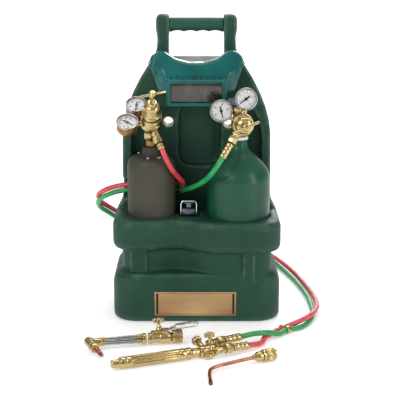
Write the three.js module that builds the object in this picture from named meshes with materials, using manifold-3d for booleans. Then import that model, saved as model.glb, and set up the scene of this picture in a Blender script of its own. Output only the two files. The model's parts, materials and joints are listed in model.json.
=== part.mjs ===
// A portable oxygen and acetylene outfit: a moulded tote stand with its two gas cylinders, regulators,
// twin hose, torch handle, cutting attachment, welding nozzle, goggles and flint striker.
// Millimetres, +Z up. The origin is the middle of the stand's underside, and the front faces -Y.

import * as THREE from "three";
import { mergeVertices } from "three/addons/utils/BufferGeometryUtils.js";
import Module from "manifold-3d";

const wasm = await Module();
wasm.setup();

const gap = 0.3; // left between pieces that touch

// Driving sizes of the stand
const standWidth = 354;
const standDepth = 230;
const baseHeight = 105;
const bandBottom = 150;
const bandTop = 216;
const panelFront = 14;
const dishDepth = 32;
const openingBottom = 453; // lower edge of the opening under the grip
const postInner = 57.5;
const postOuter = 86;
const postTop = 631;
const wellFloor = 25;
const holeSpots = [
  [-61, 402],
  [69, 399],
]; // X and Z of the two round holes through the panel

// The two gas cylinders
const acetylene = { x: -96, y: -21, radius: 51, shoulder: 341, neck: 360, neckRadius: 19 };
const oxygen = { x: 89, y: -36.5, radius: 66.5, shoulder: 330, neck: 378, neckRadius: 17 };

// Each regulator points along its own axis from the valve outlet that it screws to
const oxygenRegulator = {
  start: [89.6, -53, 418],
  axis: [0.064, -1, 0.067],
  gauges: { high: 82, low: 148 },
  outletEnd: [51.5, -124, 355.3],
};
const acetyleneRegulator = {
  start: [-96.6, -25.5, 380],
  axis: [0.066, -0.575, 0.815],
  gauges: { high: 124, low: 189 },
  outletEnd: [-71.2, -70, 363.4],
};
const gaugeReach = 51; // from the regulator's axis to the middle of a gauge
const gaugeRadius = 23;
const bodyMiddle = 50; // from the valve outlet to the middle of the regulator's body

// Hose
const hoseRadius = 5.5;
const coil = { x: 20, y: 305, inner: 44, outer: 80, height: 44 };

// Colour, roughness and metalness of each material
const finishes = {
  greenPlastic: [0x2f5446, 0.55, 0],
  copperPlate: [0x9b7952, 0.35, 0.9],
  greyPaint: [0x57574b, 0.5, 0.1],
  greenPaint: [0x2d604d, 0.35, 0.1],
  brass: [0x947f52, 0.3, 1],
  steel: [0xb8bcc0, 0.3, 1],
  blackSteel: [0x2a2c2e, 0.5, 0.8],
  chrome: [0xd8dcdf, 0.15, 1],
  rubber: [0x1b1b1b, 0.8, 0],
  redRubber: [0xcb5557, 0.6, 0],
  greenRubber: [0x18a253, 0.6, 0],
  tealVinyl: [0x12625f, 0.4, 0],
  tintedGlass: [0x3c4a44, 0.1, 0],
  elastic: [0xccc9c4, 0.9, 0],
  whitePaint: [0xe8e8e4, 0.5, 0],
  greyPlastic: [0x6f7478, 0.6, 0],
  copper: [0xb87348, 0.35, 1],
};

function material(name) {
  const [color, roughness, metalness] = finishes[name];
  return new THREE.MeshStandardMaterial({ color, roughness, metalness });
}

// ---- Shapes -------------------------------------------------------------------------------------

const vector = (values) => new THREE.Vector3(...values);

function box(x, y, z, from = [0, 0, 0]) {
  return new THREE.BoxGeometry(x, y, z).translate(...from);
}

// A round bar from z = 0 up to its length
function rod(radius, length, sides = 14, topRadius = radius) {
  const bar = new THREE.CylinderGeometry(topRadius, radius, length, sides);
  return bar.rotateX(Math.PI / 2).translate(0, 0, length / 2);
}

// A hexagonal bar from z = 0, measured across its flats
function hexBar(acrossFlats, length) {
  return rod(acrossFlats / Math.sqrt(3), length, 6);
}

// A turned piece about Z, from [radius, height] points
function turned(profile, sides = 20) {
  const points = profile.map(([radius, height]) => new THREE.Vector2(radius, height));
  return new THREE.LatheGeometry(points, sides).rotateX(Math.PI / 2);
}

// Turns a piece made along +Z so that it starts at a point and runs in a direction
function aim(geometry, start, direction) {
  const heading = vector(direction).normalize();
  const turn = new THREE.Quaternion().setFromUnitVectors(new THREE.Vector3(0, 0, 1), heading);
  return geometry.applyQuaternion(turn).translate(...start);
}

function between(radius, start, end, sides = 12, topRadius = radius) {
  const line = vector(end).sub(vector(start));
  return aim(rod(radius, line.length(), sides, topRadius), start, line.toArray());
}

// A solid of a shape in X and Z, from one Y to another, with rounded edges
function slabXZ(shape, front, back, bevel = 0, steps = 2) {
  const slab = new THREE.ExtrudeGeometry(shape, {
    depth: back - front - 2 * bevel,
    bevelEnabled: bevel > 0,
    bevelThickness: bevel,
    bevelSize: bevel,
    bevelOffset: -bevel,
    bevelSegments: steps,
    curveSegments: 5,
  });
  return slab.rotateX(Math.PI / 2).translate(0, back - bevel, 0);
}

// A solid of a shape in X and Y, from one height to another, with rounded edges
function slabXY(shape, bottom, top, rise = 0, inset = rise, steps = 2) {
  const slab = new THREE.ExtrudeGeometry(shape, {
    depth: top - bottom - 2 * rise,
    bevelEnabled: rise > 0,
    bevelThickness: rise,
    bevelSize: inset,
    bevelOffset: -inset,
    bevelSegments: steps,
    curveSegments: 5,
  });
  return slab.translate(0, 0, bottom + rise);
}

function roundedRectangle(left, bottom, right, top, radius) {
  const shape = new THREE.Shape();
  shape.moveTo(left + radius, bottom);
  shape.lineTo(right - radius, bottom);
  shape.absarc(right - radius, bottom + radius, radius, -Math.PI / 2, 0);
  shape.lineTo(right, top - radius);
  shape.absarc(right - radius, top - radius, radius, 0, Math.PI / 2);
  shape.lineTo(left + radius, top);
  shape.absarc(left + radius, top - radius, radius, Math.PI / 2, Math.PI);
  shape.lineTo(left, bottom + radius);
  shape.absarc(left + radius, bottom + radius, radius, Math.PI, 1.5 * Math.PI);
  return shape;
}

// A round bar swept along a smooth curve through the points, closed at both ends
function sweep(points, radius, sides = 8, stepLength = 20, closed = false) {
  const curve = new THREE.CatmullRomCurve3(points.map(vector), closed, "centripetal");
  const circle = new THREE.Shape().absarc(0, 0, radius, 0, 2 * Math.PI);
  const steps = Math.max(6, Math.round(curve.getLength() / stepLength));
  return new THREE.ExtrudeGeometry(circle, {
    steps,
    extrudePath: curve,
    curveSegments: sides / 2,
    bevelEnabled: false,
  });
}

// ---- Joining and cutting ------------------------------------------------------------------------

function solid(geometry) {
  const bare = (geometry.index ? geometry.toNonIndexed() : geometry.clone());
  bare.deleteAttribute("normal");
  bare.deleteAttribute("uv");
  const merged = mergeVertices(bare, 1e-4);
  return new wasm.Manifold(
    new wasm.Mesh({
      numProp: 3,
      vertProperties: merged.attributes.position.array,
      triVerts: new Uint32Array(merged.index.array),
    }),
  );
}

const join = (...geometries) => geometries.map(solid).reduce((a, b) => a.add(b));
const cut = (body, ...geometries) => geometries.reduce((left, tool) => left.subtract(solid(tool)), body);

function geometryOf(body) {
  const mesh = body.getMesh();
  const geometry = new THREE.BufferGeometry();
  geometry.setAttribute("position", new THREE.BufferAttribute(mesh.vertProperties, 3));
  geometry.setIndex(new THREE.BufferAttribute(mesh.triVerts, 1));
  const flat = geometry.toNonIndexed();
  flat.computeVertexNormals();
  return flat;
}

function piece(name, body, finish) {
  const geometry = body.isBufferGeometry ? body : geometryOf(body);
  const mesh = new THREE.Mesh(geometry, material(finish));
  mesh.name = name;
  return mesh;
}

// ---- Stand --------------------------------------------------------------------------------------

// The plan of the band and waist: a straight back and sides, and a front that bulges round each cylinder
function lobedPlan(inset, frontInset = inset, rightInset = frontInset) {
  const side = standWidth / 2 - inset;
  const back = standDepth / 2 - 3 - inset;
  const leftFront = -101 + frontInset;
  const valley = -84 + frontInset;
  const rightFront = -121 + rightInset;
  const corner = 45 - inset / 2;
  const shape = new THREE.Shape();
  shape.moveTo(-side + corner, leftFront);
  shape.lineTo(-108, leftFront);
  shape.bezierCurveTo(-82, leftFront, -70, valley, -44, valley);
  shape.bezierCurveTo(-8, valley, 4, rightFront, 54, rightFront);
  shape.lineTo(side - corner, rightFront);
  shape.absarc(side - corner, rightFront + corner, corner, -Math.PI / 2, 0);
  shape.lineTo(side, back - corner);
  shape.absarc(side - corner, back - corner, corner, 0, Math.PI / 2);
  shape.lineTo(-side + corner, back);
  shape.absarc(-side + corner, back - corner, corner, Math.PI / 2, Math.PI);
  shape.lineTo(-side, leftFront + corner);
  shape.absarc(-side + corner, leftFront + corner, corner, Math.PI, 1.5 * Math.PI);
  return shape;
}

// The outline of the upright panel and its two posts, seen from the front
function panelOutline() {
  const shape = new THREE.Shape();
  shape.moveTo(-177, bandBottom + 10);
  shape.lineTo(177, bandBottom + 10);
  shape.lineTo(175, 206);
  shape.quadraticCurveTo(163, 222, 160, 252);
  shape.lineTo(159, 380);
  shape.bezierCurveTo(157, 425, 136, 475, 104, 522);
  shape.quadraticCurveTo(90, 542, 84, 560);
  shape.lineTo(83, 584);
  shape.lineTo(postOuter, 600);
  shape.lineTo(postOuter, postTop - 12);
  shape.quadraticCurveTo(postOuter, postTop, postOuter - 12, postTop);
  shape.lineTo(-postOuter + 12, postTop);
  shape.quadraticCurveTo(-postOuter, postTop, -postOuter, postTop - 12);
  shape.lineTo(-postOuter, 600);
  shape.lineTo(-83, 584);
  shape.lineTo(-84, 560);
  shape.quadraticCurveTo(-90, 542, -104, 522);
  shape.bezierCurveTo(-136, 475, -157, 425, -159, 380);
  shape.lineTo(-160, 252);
  shape.quadraticCurveTo(-163, 222, -175, 206);
  return shape;
}

// The panel from the side: thick at the band, thin at the grip
function panelSide() {
  const shape = new THREE.Shape();
  shape.moveTo(panelFront, bandBottom + 5);
  shape.lineTo(standDepth / 2 - 5, bandBottom + 5);
  shape.lineTo(standDepth / 2 - 5, 205);
  shape.quadraticCurveTo(100, 230, 96, 270);
  shape.lineTo(90, 430);
  shape.lineTo(76, 560);
  shape.lineTo(76, postTop + 1);
  shape.lineTo(34, postTop + 1);
  shape.lineTo(34, 560);
  shape.lineTo(panelFront, 430);
  return new THREE.ExtrudeGeometry(shape, { depth: 400, bevelEnabled: false, curveSegments: 5 })
    .rotateZ(Math.PI / 2)
    .rotateY(Math.PI / 2)
    .translate(-200, 0, 0);
}

// The shallow dish in the panel that the cylinders stand in front of
function dishOutline() {
  const shape = new THREE.Shape();
  shape.moveTo(-150, bandTop - 20);
  shape.lineTo(150, bandTop - 20);
  shape.lineTo(140, 252);
  shape.lineTo(139, 375);
  shape.quadraticCurveTo(136, 420, 112, 440);
  shape.lineTo(-112, 440);
  shape.quadraticCurveTo(-136, 420, -139, 375);
  shape.lineTo(-140, 252);
  return shape;
}

function standBody() {
  const halfDepth = standDepth / 2;
  const side = standWidth / 2;
  const basePlan = roundedRectangle(-side, -halfDepth, side, halfDepth, 52);
  const dishBack = panelFront + dishDepth;
  const panel = solid(slabXZ(panelOutline(), 0, 120)).intersect(solid(panelSide()));
  const columns = [
    [-139, -103],
    [96, 122],
  ].map(([left, right]) => box(right - left, 80, 90, [(left + right) / 2, -90, 128]));
  const columnBody = join(...columns).intersect(solid(slabXY(lobedPlan(5), 60, 180)));
  let body = join(
    slabXY(basePlan, 0, 60, 8),
    slabXY(basePlan, 24, baseHeight, 26, 20, 3),
    slabXY(roundedRectangle(-side + 14, -halfDepth, side - 14, 20, 45), 24, baseHeight, 22, 7, 3),
    slabXY(lobedPlan(19, 11.5, 13.5), 60, 180),
    slabXY(lobedPlan(0), bandBottom, bandTop, 12, 12, 2),
  );
  body = body.add(columnBody).add(panel);
  body = cut(
    body,
    slabXZ(dishOutline(), -30, dishBack),
    slabXZ(roundedRectangle(-38, 305, 52, 440, 26), 0, dishBack + 18),
    slabXZ(roundedRectangle(-59, openingBottom, 59, 700, 16), -10, 130),
    box(80, 40, 44, [-170, dishBack - 20, 261]),
    ...holeSpots.map(([x, z]) => rod(11.3, 160, 14).rotateX(-Math.PI / 2).translate(x, 0, z)),
  );
  // Inner faces of the two caps that hold the grip
  body = body.add(join(
    box(postOuter - postInner - 3, 42, 36, [(postOuter + postInner) / 2 - 1.5, 55, 609]),
    box(postOuter - postInner - 3, 42, 36, [-(postOuter + postInner) / 2 + 1.5, 55, 609]),
  ));
  body = cut(
    body,
    rod(acetylene.radius + 1.5, 250, 24).translate(acetylene.x, acetylene.y, wellFloor),
    rod(oxygen.radius + 1.5, 250, 26).translate(oxygen.x, oxygen.y, wellFloor),
    box(44, 28, 80, [-15, -42, 192]),
  );
  return piece("stand_body", body, "greenPlastic");
}

// The grip between the posts, with four finger grooves below
function handleGrip() {
  const length = 2 * (postInner - gap);
  const bar = rod(15.5, length, 18).rotateY(Math.PI / 2).translate(-length / 2, 55, 608.5);
  const grooves = [-40, -13.4, 13.4, 40].map((x) =>
    rod(30, 60, 24).rotateX(-Math.PI / 2).translate(x, 25, 608.5 - 15.5 - 25.5),
  );
  return piece("handle_grip", cut(solid(bar), ...grooves), "greenPlastic");
}

function namePlate() {
  const face = slabXZ(roundedRectangle(-88, 16, 83, 68, 2), -standDepth / 2 - 1.8, -standDepth / 2 - gap);
  return piece("name_plate", face, "copperPlate");
}

// ---- Cylinders and their valves -----------------------------------------------------------------

function acetyleneCylinder() {
  const { x, y, radius, shoulder, neck, neckRadius } = acetylene;
  const base = wellFloor + gap;
  const profile = [
    [0, base + 6],
    [radius - 14, base],
    [radius - 3, base],
    [radius, base + 4],
    [radius, shoulder - 22],
    [radius - 3, shoulder - 11],
    [radius - 10, shoulder - 3],
    [radius - 18, shoulder],
    [neckRadius + 2, shoulder + 1],
    [neckRadius, shoulder + 4],
    [neckRadius - 2, neck],
    [0, neck],
  ];
  return piece("acetylene_cylinder", turned(profile, 24).translate(x, y, 0), "greyPaint");
}

function oxygenCylinder() {
  const { x, y, radius, shoulder, neck, neckRadius } = oxygen;
  const base = wellFloor + gap;
  const profile = [
    [0, base + 8],
    [radius - 16, base],
    [radius - 4, base],
    [radius, base + 5],
    [radius, shoulder - 34],
    [radius - 3, shoulder - 22],
    [radius - 11, shoulder - 8],
    [radius - 23, shoulder + 6],
    [radius - 36, shoulder + 17],
    [neckRadius + 4, shoulder + 26],
    [neckRadius, shoulder + 34],
    [neckRadius, neck],
    [0, neck],
  ];
  return piece("oxygen_cylinder", turned(profile, 26).translate(x, y, 0), "greenPaint");
}

// The white collar on the oxygen cylinder's neck
function oxygenNeckRing() {
  const bottom = oxygen.neck + gap;
  const profile = [
    [13, bottom],
    [19, bottom],
    [19, bottom + 6],
    [13, bottom + 6],
    [13, bottom],
  ];
  return piece("oxygen_neck_ring", turned(profile, 18).translate(oxygen.x, oxygen.y, 0), "whitePaint");
}

// A forged valve: a stem that screws into the neck, an outlet towards the regulator and a bonnet
function oxygenValve() {
  const { x, y, neck } = oxygen;
  const outlet = oxygenRegulator.start;
  const body = join(
    rod(11.5, 66, 14).translate(x, y, neck + gap),
    rod(15, 26, 14).translate(x, y, 405),
    aim(rod(10.5, 40, 14), outlet, oxygenRegulator.axis.map((v) => -v)),
    hexBar(22, 10).translate(x, y, 438),
  );
  return piece("oxygen_valve", cut(body, rod(4.4, 30, 10).translate(x, y, 430)), "brass");
}

// The handwheel with its spindle going down into the bonnet
function oxygenHandwheel() {
  const wheel = turned([
    [0, 452],
    [9, 452],
    [12, 455],
    [18, 455],
    [24.5, 453],
    [24.5, 464],
    [18, 462],
    [9, 463],
    [0, 463],
  ], 18);
  const lobes = [...Array(8).keys()].map((i) =>
    rod(4.5, 20, 8).translate(27.5 * Math.cos((i * Math.PI) / 4), 27.5 * Math.sin((i * Math.PI) / 4), 448),
  );
  const spindle = rod(4, 24, 10).translate(0, 0, 431);
  const body = cut(solid(wheel), ...lobes).add(solid(spindle));
  return piece("oxygen_handwheel", body.translate([oxygen.x, oxygen.y, 0]), "greyPlastic");
}

function acetyleneValve() {
  const { x, y, neck } = acetylene;
  const body = join(
    rod(11, 16, 14).translate(x, y, neck + gap),
    rod(8, 22, 12).translate(x, y + 15, neck + 4),
    box(14, 16, 11, [x, y + 8, neck + 10]),
    aim(rod(8.5, 15, 14), acetyleneRegulator.start, acetyleneRegulator.axis.map((v) => -v)),
  );
  return piece("acetylene_valve", cut(body, rod(3.4, 20, 10).translate(x, y + 15, neck + 14)), "brass");
}

// The square spindle that a key turns
function acetyleneValveStem() {
  const { x, y, neck } = acetylene;
  const body = join(
    rod(3, 12, 10).translate(0, 0, neck + 15),
    box(7, 7, 12, [0, 0, neck + 34]),
    rod(3, 10, 10).translate(0, 0, neck + 24),
  );
  return piece("acetylene_valve_stem", body.translate([x, y + 15, 0]), "steel");
}

// ---- Regulators and gauges ----------------------------------------------------------------------

// A pair of directions across an axis: u level with the ground, v the other way across
function across(axis) {
  const along = vector(axis).normalize();
  const u = new THREE.Vector3(0, 0, 1).cross(along).normalize().negate();
  const level = u.x < 0 ? u.negate() : u;
  const v = along.clone().cross(level);
  return { along, u: level, v };
}

function frameOf(regulator) {
  const { along, u, v } = across(regulator.axis);
  const point = (distance, angle = 0, reach = 0) => {
    const turn = THREE.MathUtils.degToRad(angle);
    const spot = vector(regulator.start).addScaledVector(along, distance);
    spot.addScaledVector(u, reach * Math.cos(turn));
    return spot.addScaledVector(v, reach * Math.sin(turn)).toArray();
  };
  return { along: along.toArray(), point };
}

function regulatorBody(regulator) {
  const { along, point } = frameOf(regulator);
  const middle = point(bodyMiddle - 6);
  const outlet = vector(regulator.outletEnd).sub(vector(middle));
  const bosses = Object.values(regulator.gauges).map((angle) =>
    between(6.5, middle, point(bodyMiddle - 6, angle, gaugeReach - gaugeRadius - 4), 12),
  );
  return join(
    aim(turned([
      [0, 1],
      [7.5, 1],
      [7.5, 24],
      [13, 30],
      [19, 33],
      [22, 37],
      [22, 62],
      [0, 62],
    ], 18), regulator.start, along),
    ...bosses,
    aim(rod(7.5, 31, 10), middle, outlet.toArray()),
  );
}

// The union nut that draws the regulator onto the valve
function inletNut(regulator) {
  const nut = cut(solid(hexBar(27, 17)), rod(7.5 + gap, 40, 14).translate(0, 0, -10));
  return aim(geometryOf(nut), frameOf(regulator).point(2), regulator.axis);
}

// The bonnet is a cup over the spring, open at its flange, with a bore for the screw
function bonnet(regulator) {
  const shell = turned([
    [13, 64],
    [21.3, 64],
    [21.3, 71],
    [18.5, 73],
    [17, 90],
    [14, 95],
    [9.5, 96],
    [9.5, 102],
    [5, 102],
    [5, 94],
    [13, 91],
    [13, 64],
  ], 18);
  return aim(shell, regulator.start, regulator.axis);
}

function diaphragm(regulator) {
  return aim(rod(20.5, 1.2, 18).translate(0, 0, 62.4), regulator.start, regulator.axis);
}

// The adjusting spring, squared off by a flat turn at each end
function adjustingSpring(regulator) {
  const turns = 4;
  const points = [...Array(turns * 8 + 1).keys()].map((i) => {
    const angle = (i * Math.PI) / 4;
    return [9.5 * Math.cos(angle), 9.5 * Math.sin(angle), 66 + (i * 20) / (turns * 8)];
  });
  return aim(sweep(points, 1.2, 6, 8), regulator.start, regulator.axis);
}

// The adjusting screw with its sliding T-bar, and the button that bears on the spring
function adjustingScrew(regulator, barAngle) {
  const bar = rod(2.6, 56, 10).translate(0, 0, -28).rotateX(Math.PI / 2).rotateZ(barAngle);
  const body = join(
    rod(4.6, 24, 12).translate(0, 0, 95),
    turned([
      [0, 116],
      [7, 116],
      [7.5, 119],
      [7.5, 127],
      [5, 130],
      [0, 130],
    ], 14),
    bar.translate(0, 0, 123),
  );
  return aim(geometryOf(body), regulator.start, regulator.axis);
}

// A gauge case: a shallow brass cup, open at the front, with its stem towards the regulator
function gaugeCase(regulator, angle) {
  const { along, point } = frameOf(regulator);
  const centre = point(bodyMiddle - 18, angle, gaugeReach);
  const cup = turned([
    [0, 0],
    [gaugeRadius - 3, 0],
    [gaugeRadius - 1, 2],
    [gaugeRadius - 1, 20],
    [gaugeRadius, 21],
    [gaugeRadius, 26],
    [gaugeRadius - 2.5, 26],
    [gaugeRadius - 2.5, 20],
    [2, 20],
    [2, 21.2],
    [0, 21.2],
  ], 20);
  const stem = between(
    5.5,
    point(bodyMiddle - 6, angle, gaugeReach - gaugeRadius - 4 + gap),
    point(bodyMiddle - 6, angle, gaugeReach - 10),
    12,
  );
  return join(aim(cup, centre, along), stem);
}

// A needle pivots on the post in the middle of its dial. It rests at zero, an eighth of a turn before
// the stem
function gaugeNeedle(regulator, angle) {
  const blade = new THREE.Shape();
  blade.moveTo(-1.3, -7);
  blade.lineTo(1.3, -7);
  blade.lineTo(0.4, 15);
  blade.lineTo(-0.4, 15);
  const flat = new THREE.ExtrudeGeometry(blade, { depth: 0.6, bevelEnabled: false });
  const body = join(flat, rod(2.4, 1.6, 10)).rotate([0, 0, angle + 45]).translate([0, 0, 21.6]);
  const { along, u, v } = across(regulator.axis);
  const facing = new THREE.Matrix4().makeBasis(u, v, along);
  const centre = frameOf(regulator).point(bodyMiddle - 18, angle, gaugeReach);
  return geometryOf(body).applyMatrix4(facing).translate(...centre);
}

// The swivel nut at the end of a hose, with the ferrule that is crimped on the hose
function hoseFitting(start, end) {
  const line = vector(end).sub(vector(start));
  const length = line.length();
  const body = join(
    hexBar(18, 15),
    rod(6.2, 6, 12).translate(0, 0, 14),
    turned([
      [0, 18],
      [7.4, 18],
      [8, 19.5],
      [8, length - 2],
      [7.4, length],
      [0, length],
    ], 12),
  );
  return aim(geometryOf(body), start, line.toArray());
}

function regulatorHoseFitting(regulator) {
  const middle = vector(frameOf(regulator).point(bodyMiddle - 6));
  const line = vector(regulator.outletEnd).sub(middle);
  const start = middle.addScaledVector(line.normalize(), 31 + gap).toArray();
  return hoseFitting(start, regulator.outletEnd);
}

function regulatorGroup(prefix, regulator, barAngle) {
  const group = new THREE.Group();
  group.add(
    piece(prefix + "_regulator_body", regulatorBody(regulator), "brass"),
    piece(prefix + "_inlet_nut", inletNut(regulator), "brass"),
    piece(prefix + "_diaphragm", diaphragm(regulator), "rubber"),
    piece(prefix + "_bonnet", bonnet(regulator), "brass"),
    piece(prefix + "_adjusting_spring", adjustingSpring(regulator), "steel"),
    piece(prefix + "_adjusting_screw", adjustingScrew(regulator, barAngle), "brass"),
    piece(prefix + "_hose_fitting", regulatorHoseFitting(regulator), "brass"),
  );
  for (const [kind, angle] of Object.entries(regulator.gauges)) {
    group.add(piece(prefix + "_" + kind + "_gauge", gaugeCase(regulator, angle), "steel"));
    group.add(piece(prefix + "_" + kind + "_needle", gaugeNeedle(regulator, angle), "blackSteel"));
  }
  return group;
}

// ---- Hose ---------------------------------------------------------------------------------------

// Each hose runs from its regulator behind the acetylene cylinder, round the left of the stand and
// down to the coil behind it, and from the coil along the floor to the torch
const redUpper = [
  [-71, -70.2, 362.9],
  [-66.6, -73.6, 352.5],
  [-59.5, -72, 336],
  [-49.5, -61, 316],
  [-37, -42, 296],
  [-28.5, -19, 281.5],
  [-32, 6, 272.5],
  [-48, 25, 269],
  [-70, 35.5, 267.5],
  [-96, 39.5, 266.5],
  [-130, 39, 265],
  [-165, 40, 261.5],
  [-196, 50, 251],
  [-218, 76, 232],
  [-216, 110, 208],
  [-189, 139, 181],
  [-148, 176, 141],
  [-110, 213, 98],
  [-79, 245, 63],
  [-60.5, 269, 44.5],
];
const greenUpper = [
  [51.2, -124.2, 354.8],
  [45.5, -127.9, 345.5],
  [36.5, -122, 330],
  [23, -98, 308],
  [5, -64, 287],
  [-14, -35, 272],
  [-31, 3, 261],
  [-47, 24, 257],
  [-69.5, 35.5, 255.5],
  [-95.5, 39.5, 254.5],
  [-129, 39, 253],
  [-162.5, 39.5, 250],
  [-192, 47, 240],
  [-216, 69.5, 222],
  [-219, 103.5, 198.5],
  [-194, 134, 171],
  [-153.5, 171, 131.5],
  [-115.5, 207.5, 88.5],
  [-83.5, 240, 53],
  [-64.5, 264, 34.5],
];
const redLower = [
  [62.5, 379, 17.4],
  [110, 378, 17.4],
  [150, 364, 17.4],
  [182, 330, 17.4],
  [208, 267, 16.6],
  [233, 200, 11],
  [251, 120, 8],
  [262, 40, 8],
  [263, -20, 11],
  [257, -70, 16],
  [241, -115, 18],
  [214, -146, 15],
  [177, -169, 7.9],
  [152, -196, 6.8],
  [137, -219, 6.6],
  [131, -243, 6.8],
  [121, -259, 8.6],
  [109.7, -267.7, 10.3],
  [101.7, -272.8, 11.15],
];
const greenLower = [
  [62.5, 379, 5.8],
  [110, 378, 5.8],
  [150, 364, 5.8],
  [181, 329, 5.8],
  [202, 265, 5.8],
  [221, 197, 5.8],
  [238, 118, 5.8],
  [249, 40, 5.8],
  [251, -20, 5.8],
  [249, -75, 5.8],
  [238, -120, 5.8],
  [216, -157, 5.8],
  [186, -178, 7.9],
  [166, -201, 8],
  [148, -216, 16],
  [130, -226, 19.2],
  [112, -231.5, 19.2],
  [96, -239.8, 18.4],
  [87.6, -245.2, 18.2],
];

function hoseGroup() {
  const group = new THREE.Group();
  const ring = turned([
    [coil.inner, 0.1],
    [coil.outer, 0.1],
    [coil.outer, coil.height],
    [coil.inner, coil.height],
    [coil.inner, 0.1],
  ], 24);
  group.add(
    piece("red_hose_upper", sweep(redUpper, hoseRadius), "redRubber"),
    piece("green_hose_upper", sweep(greenUpper, hoseRadius), "greenRubber"),
    piece("red_hose_lower", sweep(redLower, hoseRadius), "redRubber"),
    piece("green_hose_lower", sweep(greenLower, hoseRadius), "greenRubber"),
    piece("hose_coil", ring.translate(coil.x, coil.y, 0), "rubber"),
  );
  return group;
}

// A band that ties the two hoses side by side: two rings joined by a waist, slipped on along the hoses
function hoseClip(name, first, second, direction) {
  const line = vector(second).sub(vector(first));
  const along = vector(direction).normalize();
  const middle = vector(first).addScaledVector(line, 0.5);
  const ring = (radius, length, start) =>
    aim(rod(radius, length, 12).translate(0, 0, -length / 2), start, along.toArray());
  const body = cut(
    join(ring(7.6, 4, first), ring(7.6, 4, second), ring(4, 4, middle.toArray())),
    ring(hoseRadius + 3 * gap, 20, first),
    ring(hoseRadius + 3 * gap, 20, second),
  );
  return piece(name, body, "brass");
}

// ---- Torch handle on the floor ------------------------------------------------------------------

// A hand knob with shallow lobes, on a spindle that starts at z = 0
function lobedKnob(radius, height, spindleRadius, spindleLength) {
  const lobes = 6;
  const rim = [...Array(lobes).keys()].map((i) => {
    const turn = (2 * Math.PI * i) / lobes;
    const reach = radius + 1.4;
    const notch = rod(3, height + 10, 8).translate(0, 0, spindleLength - 5);
    return notch.translate(reach * Math.cos(turn), reach * Math.sin(turn), 0);
  });
  const wheel = cut(solid(rod(radius, height, 18).translate(0, 0, spindleLength)), ...rim);
  return wheel.add(solid(rod(spindleRadius, spindleLength + 1, 10)));
}

function torchBarrel() {
  const flutes = [...Array(10).keys()].map((i) => {
    const turn = (2 * Math.PI * i) / 10;
    return rod(2.2, 96, 6).translate(12.6 * Math.cos(turn), 12.6 * Math.sin(turn), 40);
  });
  const barrel = turned([
    [0, 0],
    [7, 0],
    [8, 1.5],
    [8, 15],
    [11, 17],
    [11.6, 19],
    [11.6, 27],
    [10.4, 28.5],
    [11.6, 31],
    [11.6, 144],
    [10.2, 148],
    [10.2, 150],
    [11.6, 152],
    [11.6, 157],
    [9, 161],
    [8, 176],
    [0, 176],
  ], 14);
  return piece("torch_barrel", cut(solid(barrel), ...flutes).rotate([0, 90, 0]), "brass");
}

const torchPorts = {
  oxygen: { start: [221, 19.5, 7.5], end: [275.5, 31, 6.1] },
  acetylene: { start: [226, -10.5, 3.5], end: [279.1, 0.3, -0.9] },
};
const torchKnobs = {
  oxygen: { start: [203, 10, 13], direction: [0, 0.33, 0.94] },
  acetylene: { start: [183, 14, 8], direction: [-0.15, 0.92, 0.36] },
};

function torchValveBlock() {
  const arms = Object.values(torchPorts).map((port) => {
    const line = vector(port.start).sub(vector(port.end));
    return aim(rod(7, 24, 10), port.start, line.toArray());
  });
  const seats = Object.values(torchKnobs).map((knob) => {
    const heading = vector(knob.direction).normalize();
    const seat = vector(knob.start).addScaledVector(heading, -10).toArray();
    return aim(rod(7, 12, 12), seat, knob.direction);
  });
  const bores = Object.values(torchKnobs).map((knob) => {
    const heading = vector(knob.direction).normalize();
    const seat = vector(knob.start).addScaledVector(heading, -4).toArray();
    return aim(rod(3.4, 20, 10), seat, knob.direction);
  });
  const body = join(
    rod(12, 32, 14).rotateY(Math.PI / 2).translate(176 + gap, 0, 0),
    box(22, 26, 20, [204, 3, 0]),
    box(16, 12, 10, [190, -13, -6]),
    ...arms,
    ...seats,
  );
  return piece("torch_valve_block", cut(body, ...bores), "brass");
}

function torchKnob(name, knob) {
  const heading = vector(knob.direction).normalize();
  const seat = vector(knob.start).addScaledVector(heading, -3).toArray();
  return piece(name, aim(geometryOf(lobedKnob(10, 9, 3, 12)), seat, knob.direction), "brass");
}

function torchHoseFitting(name, port) {
  const [x, y, z] = port.start;
  return piece(name, hoseFitting([x + gap, y, z], port.end), "brass");
}

function torchHandle() {
  const group = new THREE.Group();
  group.add(
    torchBarrel(),
    torchValveBlock(),
    torchKnob("torch_oxygen_knob", torchKnobs.oxygen),
    torchKnob("torch_acetylene_knob", torchKnobs.acetylene),
    torchHoseFitting("torch_oxygen_fitting", torchPorts.oxygen),
    torchHoseFitting("torch_acetylene_fitting", torchPorts.acetylene),
  );
  group.position.set(-160, -371, 12.1);
  group.rotation.z = THREE.MathUtils.degToRad(20.5);
  return group;
}

// ---- Cutting attachment on the floor ------------------------------------------------------------

const cuttingTipLine = { start: [-181.5, -16.5, -1], direction: [0.36, -0.91, -0.2] };

// The head and the three tubes that are brazed into it and into the socket plate
function cuttingHead() {
  const { start, direction } = cuttingTipLine;
  const reversed = direction.map((v) => -v);
  const tubes = [
    [0, 5.5],
    [-5, -3],
    [5, -3],
  ].map(([y, z]) => between(2.6, [-176, y * 0.6, z * 0.7], [-72, y, z], 10));
  return join(
    aim(rod(9.5, 26, 14), start, reversed),
    between(8.5, [-184, 0, 0], [-162, 0, 0], 16),
    rod(11, 8, 14).rotateY(Math.PI / 2).translate(-79, 0, 0),
    ...tubes,
  );
}

function cuttingTipNut() {
  const { start, direction } = cuttingTipLine;
  const nut = cut(solid(hexBar(18, 10)), rod(6 + gap, 30, 12).translate(0, 0, -10));
  const begin = vector(start).addScaledVector(vector(direction).normalize(), gap).toArray();
  return aim(geometryOf(nut), begin, direction);
}

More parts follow.
